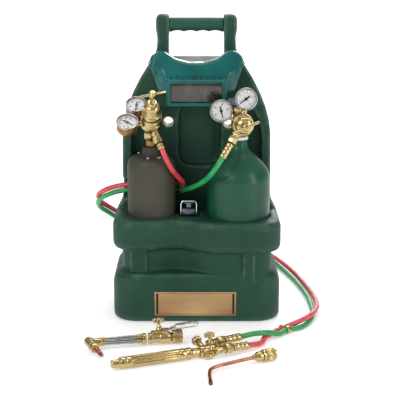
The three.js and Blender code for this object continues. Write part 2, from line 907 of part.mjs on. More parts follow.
function cuttingTip() {
  const { start, direction } = cuttingTipLine;
  const profile = [
    [0, gap],
    [6, gap],
    [6, 11],
    [4.6, 13],
    [4.2, 33],
    [2.8, 37],
    [0, 37],
  ];
  return aim(turned(profile, 16), start, direction);
}

function cuttingBody() {
  const body = join(
    turned([
      [0, -71 + gap],
      [11, -71 + gap],
      [11, -62],
      [9, -60],
      [9, -50],
      [12, -47],
      [12, -28],
      [10, -26],
      [8, -24],
      [8, -2],
      [0, -2],
    ], 14).rotateY(Math.PI / 2),
    box(32, 14, 22, [-53, 0, 5]),
    box(12, 10, 9, [-36, 0, 14]),
    aim(rod(6.5, 13, 12), [-47, 5, 6], [0, 0.45, 0.89]),
  );
  return cut(
    body,
    aim(rod(3.4, 20, 10), [-47, 8.5, 12.5], [0, 0.45, 0.89]),
    box(30, 4.4, 12, [-30, 0, 17.5]),
  );
}

function cuttingKnob() {
  return aim(geometryOf(lobedKnob(12, 9, 3, 14)), [-47, 8.7, 13], [0, 0.45, 0.89]);
}

// The cutting lever: a blade hinged in the slot, with its thumb pad above the coupling nut
function cuttingLever() {
  const pad = roundedRectangle(-10, -8, 40, 8, 7.5);
  const slope = new THREE.Matrix4().makeRotationY(THREE.MathUtils.degToRad(-6));
  return join(
    box(20, 3.6, 5, [-32, 0, 16.8]),
    box(10, 3.6, 5, [-20, 0, 19.5]),
    new THREE.ExtrudeGeometry(pad, { depth: 2.4, bevelEnabled: false, curveSegments: 6 })
      .applyMatrix4(slope)
      .translate(-8, 0, 20.2),
  );
}

function couplingNut(bore, length, radius) {
  const grips = [...Array(12).keys()].map((i) => {
    const turn = (2 * Math.PI * i) / 12;
    const reach = radius + 0.4;
    return rod(1.6, length, 6).translate(reach * Math.cos(turn), reach * Math.sin(turn), 3);
  });
  return cut(solid(rod(radius, length, 18)), rod(bore, length + 10, 14).translate(0, 0, -5), ...grips);
}

function cuttingAttachment() {
  const group = new THREE.Group();
  const nut = couplingNut(8 + gap, 20, 14).rotate([0, 90, 0]).translate([-22, 0, 0]);
  group.add(
    piece("cutting_head", cuttingHead(), "brass"),
    piece("cutting_tip_nut", cuttingTipNut(), "brass"),
    piece("cutting_tip", cuttingTip(), "copper"),
    piece("cutting_body", cuttingBody(), "brass"),
    piece("cutting_oxygen_knob", cuttingKnob(), "brass"),
    piece("cutting_lever", cuttingLever(), "steel"),
    piece("cutting_coupling_nut", nut, "brass"),
  );
  group.position.set(-27, -229, 14.2);
  group.rotation.z = THREE.MathUtils.degToRad(11.5);
  return group;
}

// ---- Welding nozzle on the floor ----------------------------------------------------------------

function nozzleTube() {
  const path = new THREE.CatmullRomCurve3([
    [46, 0, 0],
    [80, 0, -1],
    [128, 0, -3.5],
    [142, 4, -5],
    [151, 16, -6.5],
    [160, 36, -7.8],
    [168, 54, -8.2],
  ].map(vector), false, "centripetal");
  const circle = new THREE.Shape().absarc(0, 0, 3.6, 0, 2 * Math.PI);
  const tube = new THREE.ExtrudeGeometry(circle, {
    steps: 18,
    extrudePath: path,
    curveSegments: 5,
    bevelEnabled: false,
  });
  const mixer = turned([
    [0, 1],
    [7.6, 1],
    [7.6, 31],
    [9.5, 32],
    [9.5, 40],
    [6, 46],
    [5, 50],
    [0, 50],
  ], 14).rotateY(Math.PI / 2);
  return join(tube, mixer);
}

function weldingNozzle() {
  const group = new THREE.Group();
  const nut = couplingNut(7.6 + gap, 28, 12).rotate([0, 90, 0]).translate([2, 0, 0]);
  group.add(piece("nozzle_tube", nozzleTube(), "copper"), piece("nozzle_nut", nut, "brass"));
  group.position.set(152, -316, 12.2);
  group.rotation.z = THREE.MathUtils.degToRad(206.5);
  return group;
}

// ---- Goggles on the posts -----------------------------------------------------------------------

// The soft frame seen from the front: a hollow curved top edge and two cheeks that wrap the posts
function goggleOutline(inset) {
  const shape = new THREE.Shape();
  shape.moveTo(-66 + inset, 474 + inset);
  shape.lineTo(66 - inset, 474 + inset);
  shape.lineTo(80 - inset, 478 + inset);
  shape.quadraticCurveTo(88 - inset, 500, 96 - inset, 530 - inset);
  shape.lineTo(94 - inset, 548 - inset);
  shape.quadraticCurveTo(84 - inset, 562 - inset, 68, 560 - inset);
  shape.bezierCurveTo(36, 527 - inset, -36, 527 - inset, -68, 558 - inset);
  shape.quadraticCurveTo(-84 + inset, 561 - inset, -94 + inset, 546 - inset);
  shape.lineTo(-96 + inset, 530 - inset);
  shape.quadraticCurveTo(-88 + inset, 500, -80 + inset, 478 + inset);
  return shape;
}

function goggleFrame() {
  const body = join(
    slabXZ(goggleOutline(0), -38, 10, 5, 1),
    slabXZ(roundedRectangle(-63, 448, 63, 503, 4), -48, -20, 2, 1),
  );
  return piece("goggle_frame", cut(
    body,
    slabXZ(goggleOutline(3.5), -34, 20),
    box(119, 10, 48, [0, -26, 475.5]),
    box(107, 60, 40, [0, -40, 476]),
    box(112, 4, 58, [0, -41, 481.5]),
  ), "tealVinyl");
}

function goggleLens() {
  return piece("goggle_lens", box(111, 3.2, 50, [0, -41, 478]), "tintedGlass");
}

// The elastic strap goes round behind both posts
function goggleStrap() {
  const shape = new THREE.Shape();
  const outer = 103;
  const inner = 101;
  shape.moveTo(-outer, 4);
  shape.lineTo(-inner, 4);
  shape.lineTo(-inner, 73);
  shape.quadraticCurveTo(-inner, 82.5, -90, 82.5);
  shape.lineTo(90, 82.5);
  shape.quadraticCurveTo(inner, 82.5, inner, 73);
  shape.lineTo(inner, 4);
  shape.lineTo(outer, 4);
  shape.lineTo(outer, 73);
  shape.quadraticCurveTo(outer, 84.5, 90, 84.5);
  shape.lineTo(-90, 84.5);
  shape.quadraticCurveTo(-outer, 84.5, -outer, 73);
  const band = slabXY(shape, 530, 548);
  return piece("goggle_strap", band, "elastic");
}

// ---- Flint striker in the pocket ----------------------------------------------------------------

const striker = { x: -16.5, y: -47, top: 247, bottom: 172, halfWidth: 16.5 };

function strikerFrame() {
  const { x, y, top, bottom, halfWidth } = striker;
  const corner = 5;
  const points = [
    [x - halfWidth, y, bottom],
    [x - halfWidth, y, top - corner],
    [x - halfWidth + corner, y, top],
    [x + halfWidth - corner, y, top],
    [x + halfWidth, y, top - corner],
    [x + halfWidth, y, bottom],
  ];
  return piece("striker_frame", sweep(points, 1.4, 8, 7), "chrome");
}

function strikerCup() {
  const { x, y, halfWidth } = striker;
  const width = 2 * (halfWidth - 1.4 - gap);
  const cup = cut(
    solid(box(width, 17, 20, [x, y + 7, 221])),
    box(width - 3, 17, 17, [x, y + 7, 223]),
  );
  return piece("striker_cup", cup, "steel");
}

function strikerArm() {
  const { x, y, top } = striker;
  const arm = join(
    box(10, 1.6, 22, [x, y + 7, top - 14]),
    box(6, 4, 6, [x, y + 7, top - 25]),
    box(22, 6, 3, [x, y + 4.8, top - 4.5]),
  );
  return piece("striker_arm", arm, "steel");
}

// ---- Assembly -----------------------------------------------------------------------------------

const group = new THREE.Group();
group.name = "torch_outfit";
group.add(
  standBody(),
  handleGrip(),
  namePlate(),
  acetyleneCylinder(),
  acetyleneValve(),
  acetyleneValveStem(),
  oxygenCylinder(),
  oxygenNeckRing(),
  oxygenValve(),
  oxygenHandwheel(),
  regulatorGroup("oxygen", oxygenRegulator, 2.04),
  regulatorGroup("acetylene", acetyleneRegulator, 1.94),
  hoseGroup(),
  hoseClip("hose_clip_upper", [-31.6, 3.5, 273], [-31.6, 3.5, 260.9], [-0.42, 0.875, -0.235]),
  hoseClip("hose_clip_lower", [177, -169, 7.9], [186, -178, 7.9], [-0.75, -0.66, 0]),
  torchHandle(),
  cuttingAttachment(),
  weldingNozzle(),
  goggleFrame(),
  goggleLens(),
  goggleStrap(),
  strikerFrame(),
  strikerCup(),
  strikerArm(),
);

export default group;
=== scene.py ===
import json
from math import cos, pi, radians, sin, sqrt

import bmesh
import bpy
from mathutils import Matrix, Vector

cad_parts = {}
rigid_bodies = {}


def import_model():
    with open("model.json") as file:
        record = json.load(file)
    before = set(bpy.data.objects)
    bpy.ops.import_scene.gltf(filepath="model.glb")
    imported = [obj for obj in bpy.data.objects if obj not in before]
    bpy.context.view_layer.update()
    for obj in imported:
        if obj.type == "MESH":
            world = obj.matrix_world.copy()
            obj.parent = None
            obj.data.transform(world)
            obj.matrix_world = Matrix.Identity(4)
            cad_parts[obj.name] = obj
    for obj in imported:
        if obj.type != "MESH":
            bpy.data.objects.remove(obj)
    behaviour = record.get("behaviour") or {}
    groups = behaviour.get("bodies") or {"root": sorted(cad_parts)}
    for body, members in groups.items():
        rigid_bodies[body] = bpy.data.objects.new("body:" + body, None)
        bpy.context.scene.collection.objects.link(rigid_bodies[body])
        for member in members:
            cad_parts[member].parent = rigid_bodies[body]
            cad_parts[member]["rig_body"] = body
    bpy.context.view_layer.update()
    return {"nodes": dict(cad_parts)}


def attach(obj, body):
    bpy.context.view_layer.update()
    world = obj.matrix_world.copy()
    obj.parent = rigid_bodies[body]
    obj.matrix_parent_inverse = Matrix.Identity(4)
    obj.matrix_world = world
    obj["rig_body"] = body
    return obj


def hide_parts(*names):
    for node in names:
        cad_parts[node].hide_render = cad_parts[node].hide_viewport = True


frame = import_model()
scene = bpy.context.scene
scene.view_settings.view_transform = "Standard"
mm = 0.001
print("frame loaded:", len(frame["nodes"]), "nodes")


def addObject(name, data):
    made = bpy.data.objects.new(name, data)
    scene.collection.objects.link(made)
    return made


# Camera, light and floor

view = {"place": (0, -2.2, 0.773), "tilt": 13.67, "lens": 94.3, "shift": 0.00875}
camera = addObject("camera", bpy.data.cameras.new("camera"))
camera.location = view["place"]
camera.rotation_euler = (radians(90 - view["tilt"]), 0, 0)
camera.data.lens = view["lens"]
camera.data.shift_x = view["shift"]
camera.data.clip_end = 200
scene.camera = camera

studio = {
    "key": {"place": (-1.5, -2.0, 1.9), "size": (1.4, 1.4), "power": 33},
    "fill": {"place": (1.7, -1.2, 1.0), "size": (0.5, 1.6), "power": 12},
    "top": {"place": (0.1, 0.5, 2.2), "size": (1.6, 1.0), "power": 15},
    "back": {"place": (0.6, 2.4, 1.4), "size": (1.4, 1.4), "power": 26},
}
for name, row in studio.items():
    light = addObject(name, bpy.data.lights.new(name, "AREA"))
    light.data.shape = "RECTANGLE"
    light.data.size, light.data.size_y = row["size"]
    light.data.energy = row["power"]
    light.location = row["place"]
    aimAt = Vector((0, 0, 0.28)) - light.location
    light.rotation_euler = aimAt.to_track_quat("-Z", "Y").to_euler()

# Materials


class Value:  # an output of a node, so that sums and products of values read as Python
    def __init__(self, finish, socket):
        self.finish = finish
        self.socket = socket

    def sum(self, operation, first, second):
        return self.finish.node("ShaderNodeMath", {"operation": operation}, {0: first, 1: second})

    def __add__(self, other):
        return self.sum("ADD", self, other)

    def __radd__(self, other):
        return self.sum("ADD", other, self)

    def __sub__(self, other):
        return self.sum("SUBTRACT", self, other)

    def __rsub__(self, other):
        return self.sum("SUBTRACT", other, self)

    def __mul__(self, other):
        return self.sum("MULTIPLY", self, other)

    def __rmul__(self, other):
        return self.sum("MULTIPLY", other, self)


class Finish:  # a material and its nodes, around one Principled shader
    def __init__(self, name, **constants):
        self.material = bpy.data.materials.new(name)
        self.material.use_nodes = True
        self.tree = self.material.node_tree
        self.shader = self.tree.nodes["Principled BSDF"]
        for key, value in constants.items():
            self.shader.inputs[key.replace("_", " ")].default_value = value
        self.place = self.node("ShaderNodeTexCoord", output="Object")

    def node(self, kind, settings=None, inputs=None, output=0):
        made = self.tree.nodes.new(kind)
        for key, value in (settings or {}).items():
            if key == "stops":
                for stop, (spot, color) in zip(made.color_ramp.elements, value):
                    stop.position, stop.color = spot, color
            else:
                setattr(made, key, value)
        for key, value in (inputs or {}).items():
            if isinstance(value, Value):
                self.tree.links.new(value.socket, made.inputs[key])
            else:
                made.inputs[key].default_value = value
        return Value(self, made.outputs[output])

    def noise(self, scale, detail=2, stretch=None):
        place = self.place
        if stretch:
            place = self.node("ShaderNodeMapping", {}, {"Vector": place, "Scale": stretch})
        return self.node("ShaderNodeTexNoise", {}, {"Vector": place, "Scale": scale, "Detail": detail})

    def span(self, value, low, high, start=0, end=1):
        ends = {"From Min": low, "From Max": high, "To Min": start, "To Max": end}
        return self.node("ShaderNodeMapRange", {}, {"Value": value, **ends})

    def mix(self, share, first, second):
        return self.node("ShaderNodeMix", {"data_type": "RGBA"}, {0: share, 6: first, 7: second}, 2)

    def height(self, axis):
        parts = {"X": 0, "Y": 1, "Z": 2}
        return self.node("ShaderNodeSeparateXYZ", {}, {0: self.place}, parts[axis])

    def bump(self, height, distance, under=None):
        inputs = {"Height": height, "Distance": distance}
        if under:
            inputs["Normal"] = under
        return self.node("ShaderNodeBump", {}, inputs)

    def outerEdges(self, low, high):  # 1 along the outward edges of a finely divided mesh
        edge = self.node("ShaderNodeNewGeometry", output="Pointiness")
        return self.span(edge, low, high)

    def feed(self, **sockets):
        for key, value in sockets.items():
            socket = self.shader.inputs[key.replace("_", " ")]
            if isinstance(value, Value):
                self.tree.links.new(value.socket, socket)
            else:
                socket.default_value = value
        return self


def shade(red, green, blue):  # a colour as a screen shows it, turned to the shader's scale
    def channel(value):
        value = value / 255
        return value / 12.92 if value < 0.04045 else ((value + 0.055) / 1.055) ** 2.4

    return (channel(red), channel(green), channel(blue), 1)


def grainedPlastic(name, color, pale, roughness, grain=0.00022, paintedEdgeHighlight=True):
    f = Finish(name, IOR=1.36)
    cloud = f.span(f.noise(9, 4), 0.32, 0.7)
    tone = f.mix(cloud, color, pale)
    if paintedEdgeHighlight:
        # Painted highlight: the outward edges are paler, broken up by noise
        edgeHighlight = f.outerEdges(0.504, 0.545) * f.span(f.noise(60, 3), 0.3, 0.6)
        tone = f.mix(edgeHighlight * 0.5, tone, shade(112, 144, 130))
    pebble = f.node("ShaderNodeTexVoronoi", {"feature": "SMOOTH_F1"}, {"Vector": f.place, "Scale": 620})
    relief = f.bump(pebble, grain, f.bump(f.noise(38, 3), 0.0012))
    shine = f.span(f.noise(22, 3), 0.3, 0.7, roughness - 0.06, roughness + 0.08)
    return f.feed(Base_Color=tone, Roughness=shine, Normal=relief)


def enamel(name, color, pale, roughness, coat, chip):
    f = Finish(name, Coat_Roughness=0.22, IOR=1.38)
    tone = f.mix(f.span(f.noise(7, 4), 0.3, 0.72), color, pale)
    streak = f.span(f.noise(30, 4, (1, 1, 0.12)), 0.6, 0.78)
    tone = f.mix(streak * 0.22, tone, pale)
    spots = f.span(f.noise(160, 5), 0.735, 0.76)
    tone = f.mix(spots * 0.8, tone, chip)
    peel = f.bump(f.noise(240, 2), 0.00016, f.bump(f.noise(20, 2), 0.0009))
    shine = f.span(f.noise(26, 4), 0.3, 0.75, roughness - 0.05, roughness + 0.12)
    return f.feed(Base_Color=tone, Roughness=shine + spots * 0.3, Coat_Weight=coat - spots * coat,
                  Normal=peel)


def metal(name, color, dark, roughness, tarnish=0.4, lines=0.00003, ringed=True):
    f = Finish(name, Metallic=1.0)
    stain = f.span(f.noise(75, 4), 0.42, 0.72)
    tone = f.mix(stain * tarnish, color, dark)
    handled = f.span(f.noise(24, 5), 0.45, 0.8)
    tone = f.mix(handled * tarnish * 0.5, tone, dark)
    fine = f.noise(1500, 2, (1, 1, 3) if ringed else (1, 0.2, 1))
    relief = f.bump(fine, lines, f.bump(f.noise(180, 3), 0.000012))
    shine = f.span(f.noise(110, 4), 0.3, 0.75, roughness - 0.05, roughness + 0.13)
    return f.feed(Base_Color=tone, Roughness=shine + stain * tarnish * 0.12, Normal=relief)


def hoseCover(name, color, pale):
    f = Finish(name, Coat_Roughness=0.25, IOR=1.5)
    tone = f.mix(f.span(f.noise(45, 4), 0.35, 0.75), color, pale)
    dust = f.span(f.noise(400, 3), 0.58, 0.75)
    tone = f.mix(dust * 0.25, tone, shade(214, 206, 196))
    wrap = f.bump(f.noise(900, 3), 0.0001, f.bump(f.noise(130, 2), 0.0004))
    return f.feed(Base_Color=tone, Roughness=f.span(f.noise(70, 3), 0.3, 0.7, 0.36, 0.52),
                  Coat_Weight=0.25,
                  Normal=wrap)


def paint(name, color, pale, roughness):
    f = Finish(name, IOR=1.45)
    tone = f.mix(f.span(f.noise(90, 4), 0.35, 0.7), color, pale)
    relief = f.bump(f.noise(700, 3), 0.00005)
    return f.feed(Base_Color=tone,
                  Roughness=f.span(f.noise(160, 3), 0.3, 0.7, roughness, roughness + 0.12),
                  Normal=relief)


def platePattern():
    # Copper-gold plate: brushed along its length, paler in the middle and toward its top as a painted
    # reflection, with a fine dark border line
    f = Finish("platePattern", Metallic=0.75)
    x, z = f.height("X"), f.height("Z")
    fromMiddle = f.node("ShaderNodeMath", {"operation": "ABSOLUTE"}, {0: x + 0.0025})
    # Painted reflection: darker towards the ends, paler towards the top
    tone = f.mix(f.span(fromMiddle, 0.005, 0.085), shade(210, 174, 124), shade(156, 114, 74))
    tone = f.mix(f.span(z, 0.02, 0.066), tone, shade(214, 176, 128))
    brush = f.noise(260, 4, (0.05, 1, 6))
    tone = f.mix(f.span(brush, 0.35, 0.7) * 0.35, tone, shade(120, 88, 60))
    return f.feed(Base_Color=tone, Roughness=f.span(brush, 0.3, 0.7, 0.32, 0.5),
                  Normal=f.bump(brush, 0.00006))


def softVinyl():
    f = Finish("softVinyl", Coat_Roughness=0.08, IOR=1.34, Subsurface_Weight=0.04)
    tone = f.mix(f.span(f.noise(16, 3), 0.3, 0.7), shade(0, 80, 78), shade(0, 102, 96))
    # Painted highlight: the outward edges of the vinyl are lighter
    rim = f.outerEdges(0.52, 0.62)
    tone = f.mix(rim * 0.25, tone, shade(60, 140, 132))
    relief = f.bump(f.noise(55, 2), 0.0009, f.bump(f.noise(900, 2), 0.00003))
    return f.feed(Base_Color=tone, Roughness=f.span(f.noise(40, 3), 0.3, 0.7, 0.3, 0.42),
                  Coat_Weight=0.22,
                  Normal=relief)


def tintedLens():
    f = Finish("tintedLens", Coat_Weight=0.6, Coat_Roughness=0.03, Transmission_Weight=0.2, IOR=1.5)
    # Painted reflection: the lens is paler toward its top
    tone = f.mix(f.span(f.height("Z"), 0.455, 0.5), shade(30, 26, 24), shade(76, 70, 63))
    # Smudges that make the glass rougher, also painted paler as a reflection
    smudgeAndReflection = f.noise(60, 4, (1, 1, 0.4))
    tone = f.mix(f.span(smudgeAndReflection, 0.5, 0.75) * 0.4, tone, shade(112, 104, 95))
    return f.feed(Base_Color=tone, Roughness=f.span(smudgeAndReflection, 0.3, 0.8, 0.05, 0.2))


def wovenElastic():
    f = Finish("wovenElastic", Sheen_Weight=0.3)
    rib = f.node("ShaderNodeMath", {"operation": "SINE"}, {0: f.height("Z") * 3400})
    cross = f.node("ShaderNodeMath", {"operation": "SINE"}, {0: (f.height("X") + f.height("Y")) * 2600})
    weave = rib * 0.6 + cross * 0.4
    tone = f.mix(f.span(weave, -1, 1), shade(206, 202, 197), shade(248, 246, 242))
    tone = f.mix(f.span(f.noise(80, 3), 0.4, 0.75) * 0.4, tone, shade(190, 182, 170))
    return f.feed(Base_Color=tone, Roughness=0.85, Normal=f.bump(weave, 0.0003))


def dialFace():
    f = Finish("dialFace", Coat_Weight=0.1)
    tone = f.mix(f.span(f.noise(120, 3), 0.35, 0.7), shade(252, 251, 249), shade(242, 241, 238))
    return f.feed(Base_Color=tone, Roughness=f.span(f.noise(300, 3), 0.3, 0.7, 0.35, 0.5),
                  Normal=f.bump(f.noise(1200, 2), 0.00002))


def clearCrystal():
    f = Finish("clearCrystal", Transmission_Weight=1.0, IOR=1.2, Metallic=0.0)
    dust = f.noise(220, 4)
    return f.feed(Base_Color=f.mix(f.span(dust, 0.4, 0.8), (1, 1, 1, 1), (0.95, 0.96, 0.96, 1)),
                  Roughness=f.span(dust, 0.5, 0.85, 0.0, 0.03))


def springSteel(name, color, roughness):
    return metal(name, color, shade(112, 112, 114), roughness, 0.25, 0.000006, False)


finishes = {
    "stand": grainedPlastic("standPlastic", shade(23, 62, 46), shade(31, 75, 57), 0.5),
    "grip": grainedPlastic("gripPlastic", shade(22, 68, 51), shade(32, 84, 64), 0.5, 0.0005),
    "plate": platePattern(),
    "plateBar": paint("plateBar", shade(22, 20, 18), shade(44, 38, 32), 0.35),
    "grey": enamel("greyEnamel", shade(59, 58, 49), shade(73, 71, 60), 0.55, 0.04, shade(150, 146, 132)),
    "green": enamel("greenEnamel", shade(7, 66, 46), shade(14, 83, 60), 0.4, 0.22, shade(150, 170, 158)),
    "brass": metal("turnedBrass", shade(200, 178, 126), shade(132, 106, 62), 0.22, 0.3, 0.000004),
    "oldBrass": metal("darkBrass", shade(168, 124, 72), shade(98, 66, 38), 0.3, 0.7, 0.000006),
    "steel": springSteel("brightSteel", shade(172, 170, 168), 0.2),
    "bezel": metal("bezelSteel", shade(186, 184, 178), shade(110, 106, 100), 0.22, 0.3),
    "blueSteel": springSteel("blueSteel", shade(104, 114, 128), 0.26),
    "chrome": springSteel("polishedWire", shade(236, 238, 242), 0.1),
    "copper": metal("bareCopper", shade(196, 126, 98), shade(116, 68, 50), 0.28, 0.6),
    "burntCopper": metal("burntCopper", shade(120, 84, 66), shade(38, 34, 36), 0.4, 0.9),
    "black": paint("blackPaint", shade(16, 16, 17), shade(30, 30, 31), 0.4),
    "redMark": paint("redMark", shade(188, 40, 36), shade(206, 62, 52), 0.45),
    "rubber": paint("blackRubber", shade(24, 24, 24), shade(42, 41, 40), 0.6),
    "ivory": paint("ivoryPlastic", shade(214, 208, 194), shade(190, 183, 168), 0.5),
    "white": paint("whitePaint", shade(236, 236, 232), shade(214, 213, 208), 0.4),
    "greyPlastic": grainedPlastic("wheelPlastic", shade(96, 100, 104), shade(122, 126, 130), 0.5, 0.0002,
                                  False),
    "redHose": hoseCover("redHoseCover", shade(206, 52, 62), shade(226, 88, 96)),
    "greenHose": hoseCover("greenHoseCover", shade(14, 142, 70), shade(38, 170, 96)),
    "vinyl": softVinyl(),
    "lens": tintedLens(),
    "elastic": wovenElastic(),
    "dial": dialFace(),
    "crystal": clearCrystal(),
}
print("materials made:", len(finishes))

floorFinish = Finish("paleFloor", Roughness=0.6, Emission_Strength=0.85)
away = floorFinish.node("ShaderNodeVectorMath", {"operation": "LENGTH"}, {0: floorFinish.place}, 1)
floorFinish.feed(Base_Color=floorFinish.mix(floorFinish.noise(0.6, 2), (0.86, 0.86, 0.86, 1),
                                            (0.9, 0.9, 0.9, 1)),
                 Emission_Color=floorFinish.mix(floorFinish.span(away, 1.2, 4), (0.44, 0.44, 0.44, 1),
                                                (1, 1, 1, 1)))
floorBody = bmesh.new()
bmesh.ops.create_grid(floorBody, x_segments=8, y_segments=8, size=45)
floorMesh = bpy.data.meshes.new("floor")
floorBody.to_mesh(floorMesh)
floor = addObject("floor", floorMesh)
floor.data.materials.append(floorFinish.material)

world = bpy.data.worlds.new("softStudio")
world.use_nodes = True
scene.world = world
sky = world.node_tree
toward = sky.nodes.new("ShaderNodeTexCoord")
split = sky.nodes.new("ShaderNodeSeparateXYZ")
ramp = sky.nodes.new("ShaderNodeValToRGB")
for stop, spot, color in zip(ramp.color_ramp.elements, (0.0, 0.75),
                             ((0.3, 0.3, 0.31, 1), (0.72, 0.72, 0.73, 1))):
    stop.position, stop.color = spot, color
# A white backdrop behind the piece, which does not light its front
backdrop = sky.nodes.new("ShaderNodeMapRange")
for key, value in {"From Min": 0.8, "From Max": 0.95}.items():
    backdrop.inputs[key].default_value = value
blend = sky.nodes.new("ShaderNodeMix")
blend.data_type = "RGBA"
blend.inputs[7].default_value = (1.9, 1.9, 1.9, 1)
for start, end in (
    (toward.outputs["Generated"], split.inputs[0]), (split.outputs[2], ramp.inputs[0]),
    (split.outputs[1], backdrop.inputs["Value"]), (backdrop.outputs[0], blend.inputs[0]),
    (ramp.outputs[0], blend.inputs[6]), (blend.outputs[2], sky.nodes["Background"].inputs[0]),
):
    sky.links.new(start, end)
sky.nodes["Background"].inputs[1].default_value = 0.62
print("camera, light and floor made")

# Tools for making pieces. Shapes are made in millimetres and scaled when they are finished


def shift(x, y, z):
    return Matrix.Translation((x, y, z))


def turnBy(angle, axis="Z"):
    return Matrix.Rotation(radians(angle), 4, axis)


def moveNew(body, made, x, y, z):  # moves the points that an extrude has just made
    points = [v for v in made["geom"] if isinstance(v, bmesh.types.BMVert)]
    bmesh.ops.translate(body, verts=points, vec=(x, y, z))


def softenEdges(body, width, segments=2, sharp=28):
    edges = [e for e in body.edges if e.is_manifold and e.calc_face_angle(0) > radians(sharp)]
    if width and edges:
        bmesh.ops.bevel(body, geom=edges, offset=width, segments=segments, profile=0.5, affect="EDGES",
                        material=-1, clamp_overlap=True)
    return body


def lathe(profile, steps=56, bevel=0.5, closed=False):
    body = bmesh.new()
    ring = [body.verts.new((radius, 0, height)) for radius, height in profile]
    pairs = list(zip(ring, ring[1:])) + ([(ring[-1], ring[0])] if closed else [])
    edges = [body.edges.new(pair) for pair in pairs]
    bmesh.ops.spin(body, geom=ring + edges, cent=(0, 0, 0), axis=(0, 0, 1), angle=2 * pi, steps=steps,
                   use_merge=True)
    bmesh.ops.remove_doubles(body, verts=body.verts, dist=1e-4)
    bmesh.ops.recalc_face_normals(body, faces=body.faces)
    return softenEdges(body, bevel)


def rod(radius, length, sides=32, bevel=0.4):
    body = bmesh.new()
    bmesh.ops.create_cone(body, cap_ends=True, segments=sides, radius1=radius, radius2=radius,
                          depth=length)
    bmesh.ops.translate(body, verts=body.verts, vec=(0, 0, length / 2))
    return softenEdges(body, bevel, 2, 40)


def hexBar(across, length, bevel=0.6):
    return rod(across / sqrt(3), length, 6, bevel)


def block(x, y, z, middle=(0, 0, 0), bevel=0.8, segments=3):
    body = bmesh.new()
    bmesh.ops.create_cube(body, size=1)
    bmesh.ops.scale(body, verts=body.verts, vec=(x, y, z))
    softenEdges(body, bevel, segments)
    bmesh.ops.translate(body, verts=body.verts, vec=middle)
    return body


def lobed(radius, depth, lobes, length, bevel=0.8, sharpness=1.0):
    # A disc whose rim dips between its lobes, drawn up to its length
    body = bmesh.new()
    made = bmesh.ops.create_circle(body, cap_ends=True, segments=lobes * 12, radius=radius)
    for v in made["verts"]:
        turn = lobes * Vector((1, 0)).angle_signed(v.co.xy) if v.co.xy.length else 0
        dip = abs(cos(turn / 2)) ** (4 / sharpness)
        v.co.xy *= 1 - depth / radius * dip
    top = bmesh.ops.extrude_face_region(body, geom=body.faces[:])
    moveNew(body, top, 0, 0, length)
    bmesh.ops.recalc_face_normals(body, faces=body.faces)
    return softenEdges(body, bevel, 2, 60)


def aim(start, direction, turn=0.0):  # a placing that sends +Z from start along a direction
    heading = Vector((0, 0, 1)).rotation_difference(Vector(direction).normalized())
    return Matrix.Translation(start) @ heading.to_matrix().to_4x4() @ Matrix.Rotation(turn, 4, "Z")


def placed(body, *placings):
    for placing in placings:
        body.transform(placing)
    return body


def between(radius, start, end, sides=24, bevel=0.3):
    line = Vector(end) - Vector(start)
    return placed(rod(radius, line.length, sides, bevel), aim(start, line))


def settle(piece, nodes, body=None):
    # Puts a finished piece on its body, in the place of the nodes it stands for
    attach(piece, body or frame["nodes"][nodes[0]]["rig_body"])
    if nodes:
        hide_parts(*nodes)
    return piece


def build(name, parts, nodes=(), body=None, sharp=34):
    # Joins the parts, each with its own finish, into one piece
    whole, holder, used = bmesh.new(), bpy.data.meshes.new(name), []
    for part, finish in parts:
        material = finishes[finish].material
        if material not in used:
            used.append(material)
        for face in part.faces:
            face.material_index = used.index(material)
            face.smooth = True
        part.to_mesh(holder)
        whole.from_mesh(holder)
        part.free()
    whole.transform(Matrix.Scale(mm, 4))
    whole.to_mesh(holder)
    whole.free()
    for material in used:
        holder.materials.append(material)
    holder.set_sharp_from_angle(angle=radians(sharp))
    return settle(addObject(name, holder), nodes, body)


def baked(piece):
    # The piece's mesh with its modifiers worked in
    bpy.context.view_layer.update()
    seen = piece.evaluated_get(bpy.context.evaluated_depsgraph_get())
    final = bpy.data.meshes.new_from_object(seen)
    piece.modifiers.clear()
    piece.data = final
    return piece


def moulded(name, node, cell, rounds, finish, keep=1.0):
    # A copy of a node with its corners run round, as a moulding's are
    body = bmesh.new()
    body.from_mesh(frame["nodes"][node].data)
    bmesh.ops.remove_doubles(body, verts=body.verts, dist=1e-6)
    mesh = bpy.data.meshes.new(name)
    body.to_mesh(mesh)
    body.free()
    piece = addObject(name, mesh)
    even = piece.modifiers.new("even", "REMESH")
    even.mode = "VOXEL"
    even.voxel_size = cell
    even.use_smooth_shade = True
    soft = piece.modifiers.new("soft", "SMOOTH")
    soft.factor = 0.5
    soft.iterations = rounds
    if keep < 1:
        fewer = piece.modifiers.new("fewer", "DECIMATE")
        fewer.ratio = keep
    baked(piece)
    piece.data.materials.clear()
    piece.data.materials.append(finishes[finish].material)
    piece.data.shade_smooth()
    return piece


def wire(name, points, radius, finish, nodes, rounded=6):
    # A round bar along points in millimetres
    curve = bpy.data.curves.new(name, "CURVE")
    curve.dimensions = "3D"
    curve.bevel_depth = radius * mm
    curve.bevel_resolution = rounded
    curve.use_fill_caps = True
    line = curve.splines.new("POLY")
    line.points.add(len(points) - 1)
    for spot, point in zip(line.points, points):
        spot.co = (*(Vector(point) * mm), 1)
    line.use_smooth = True
    curve.materials.append(finishes[finish].material)
    return settle(addObject(name, curve), nodes)


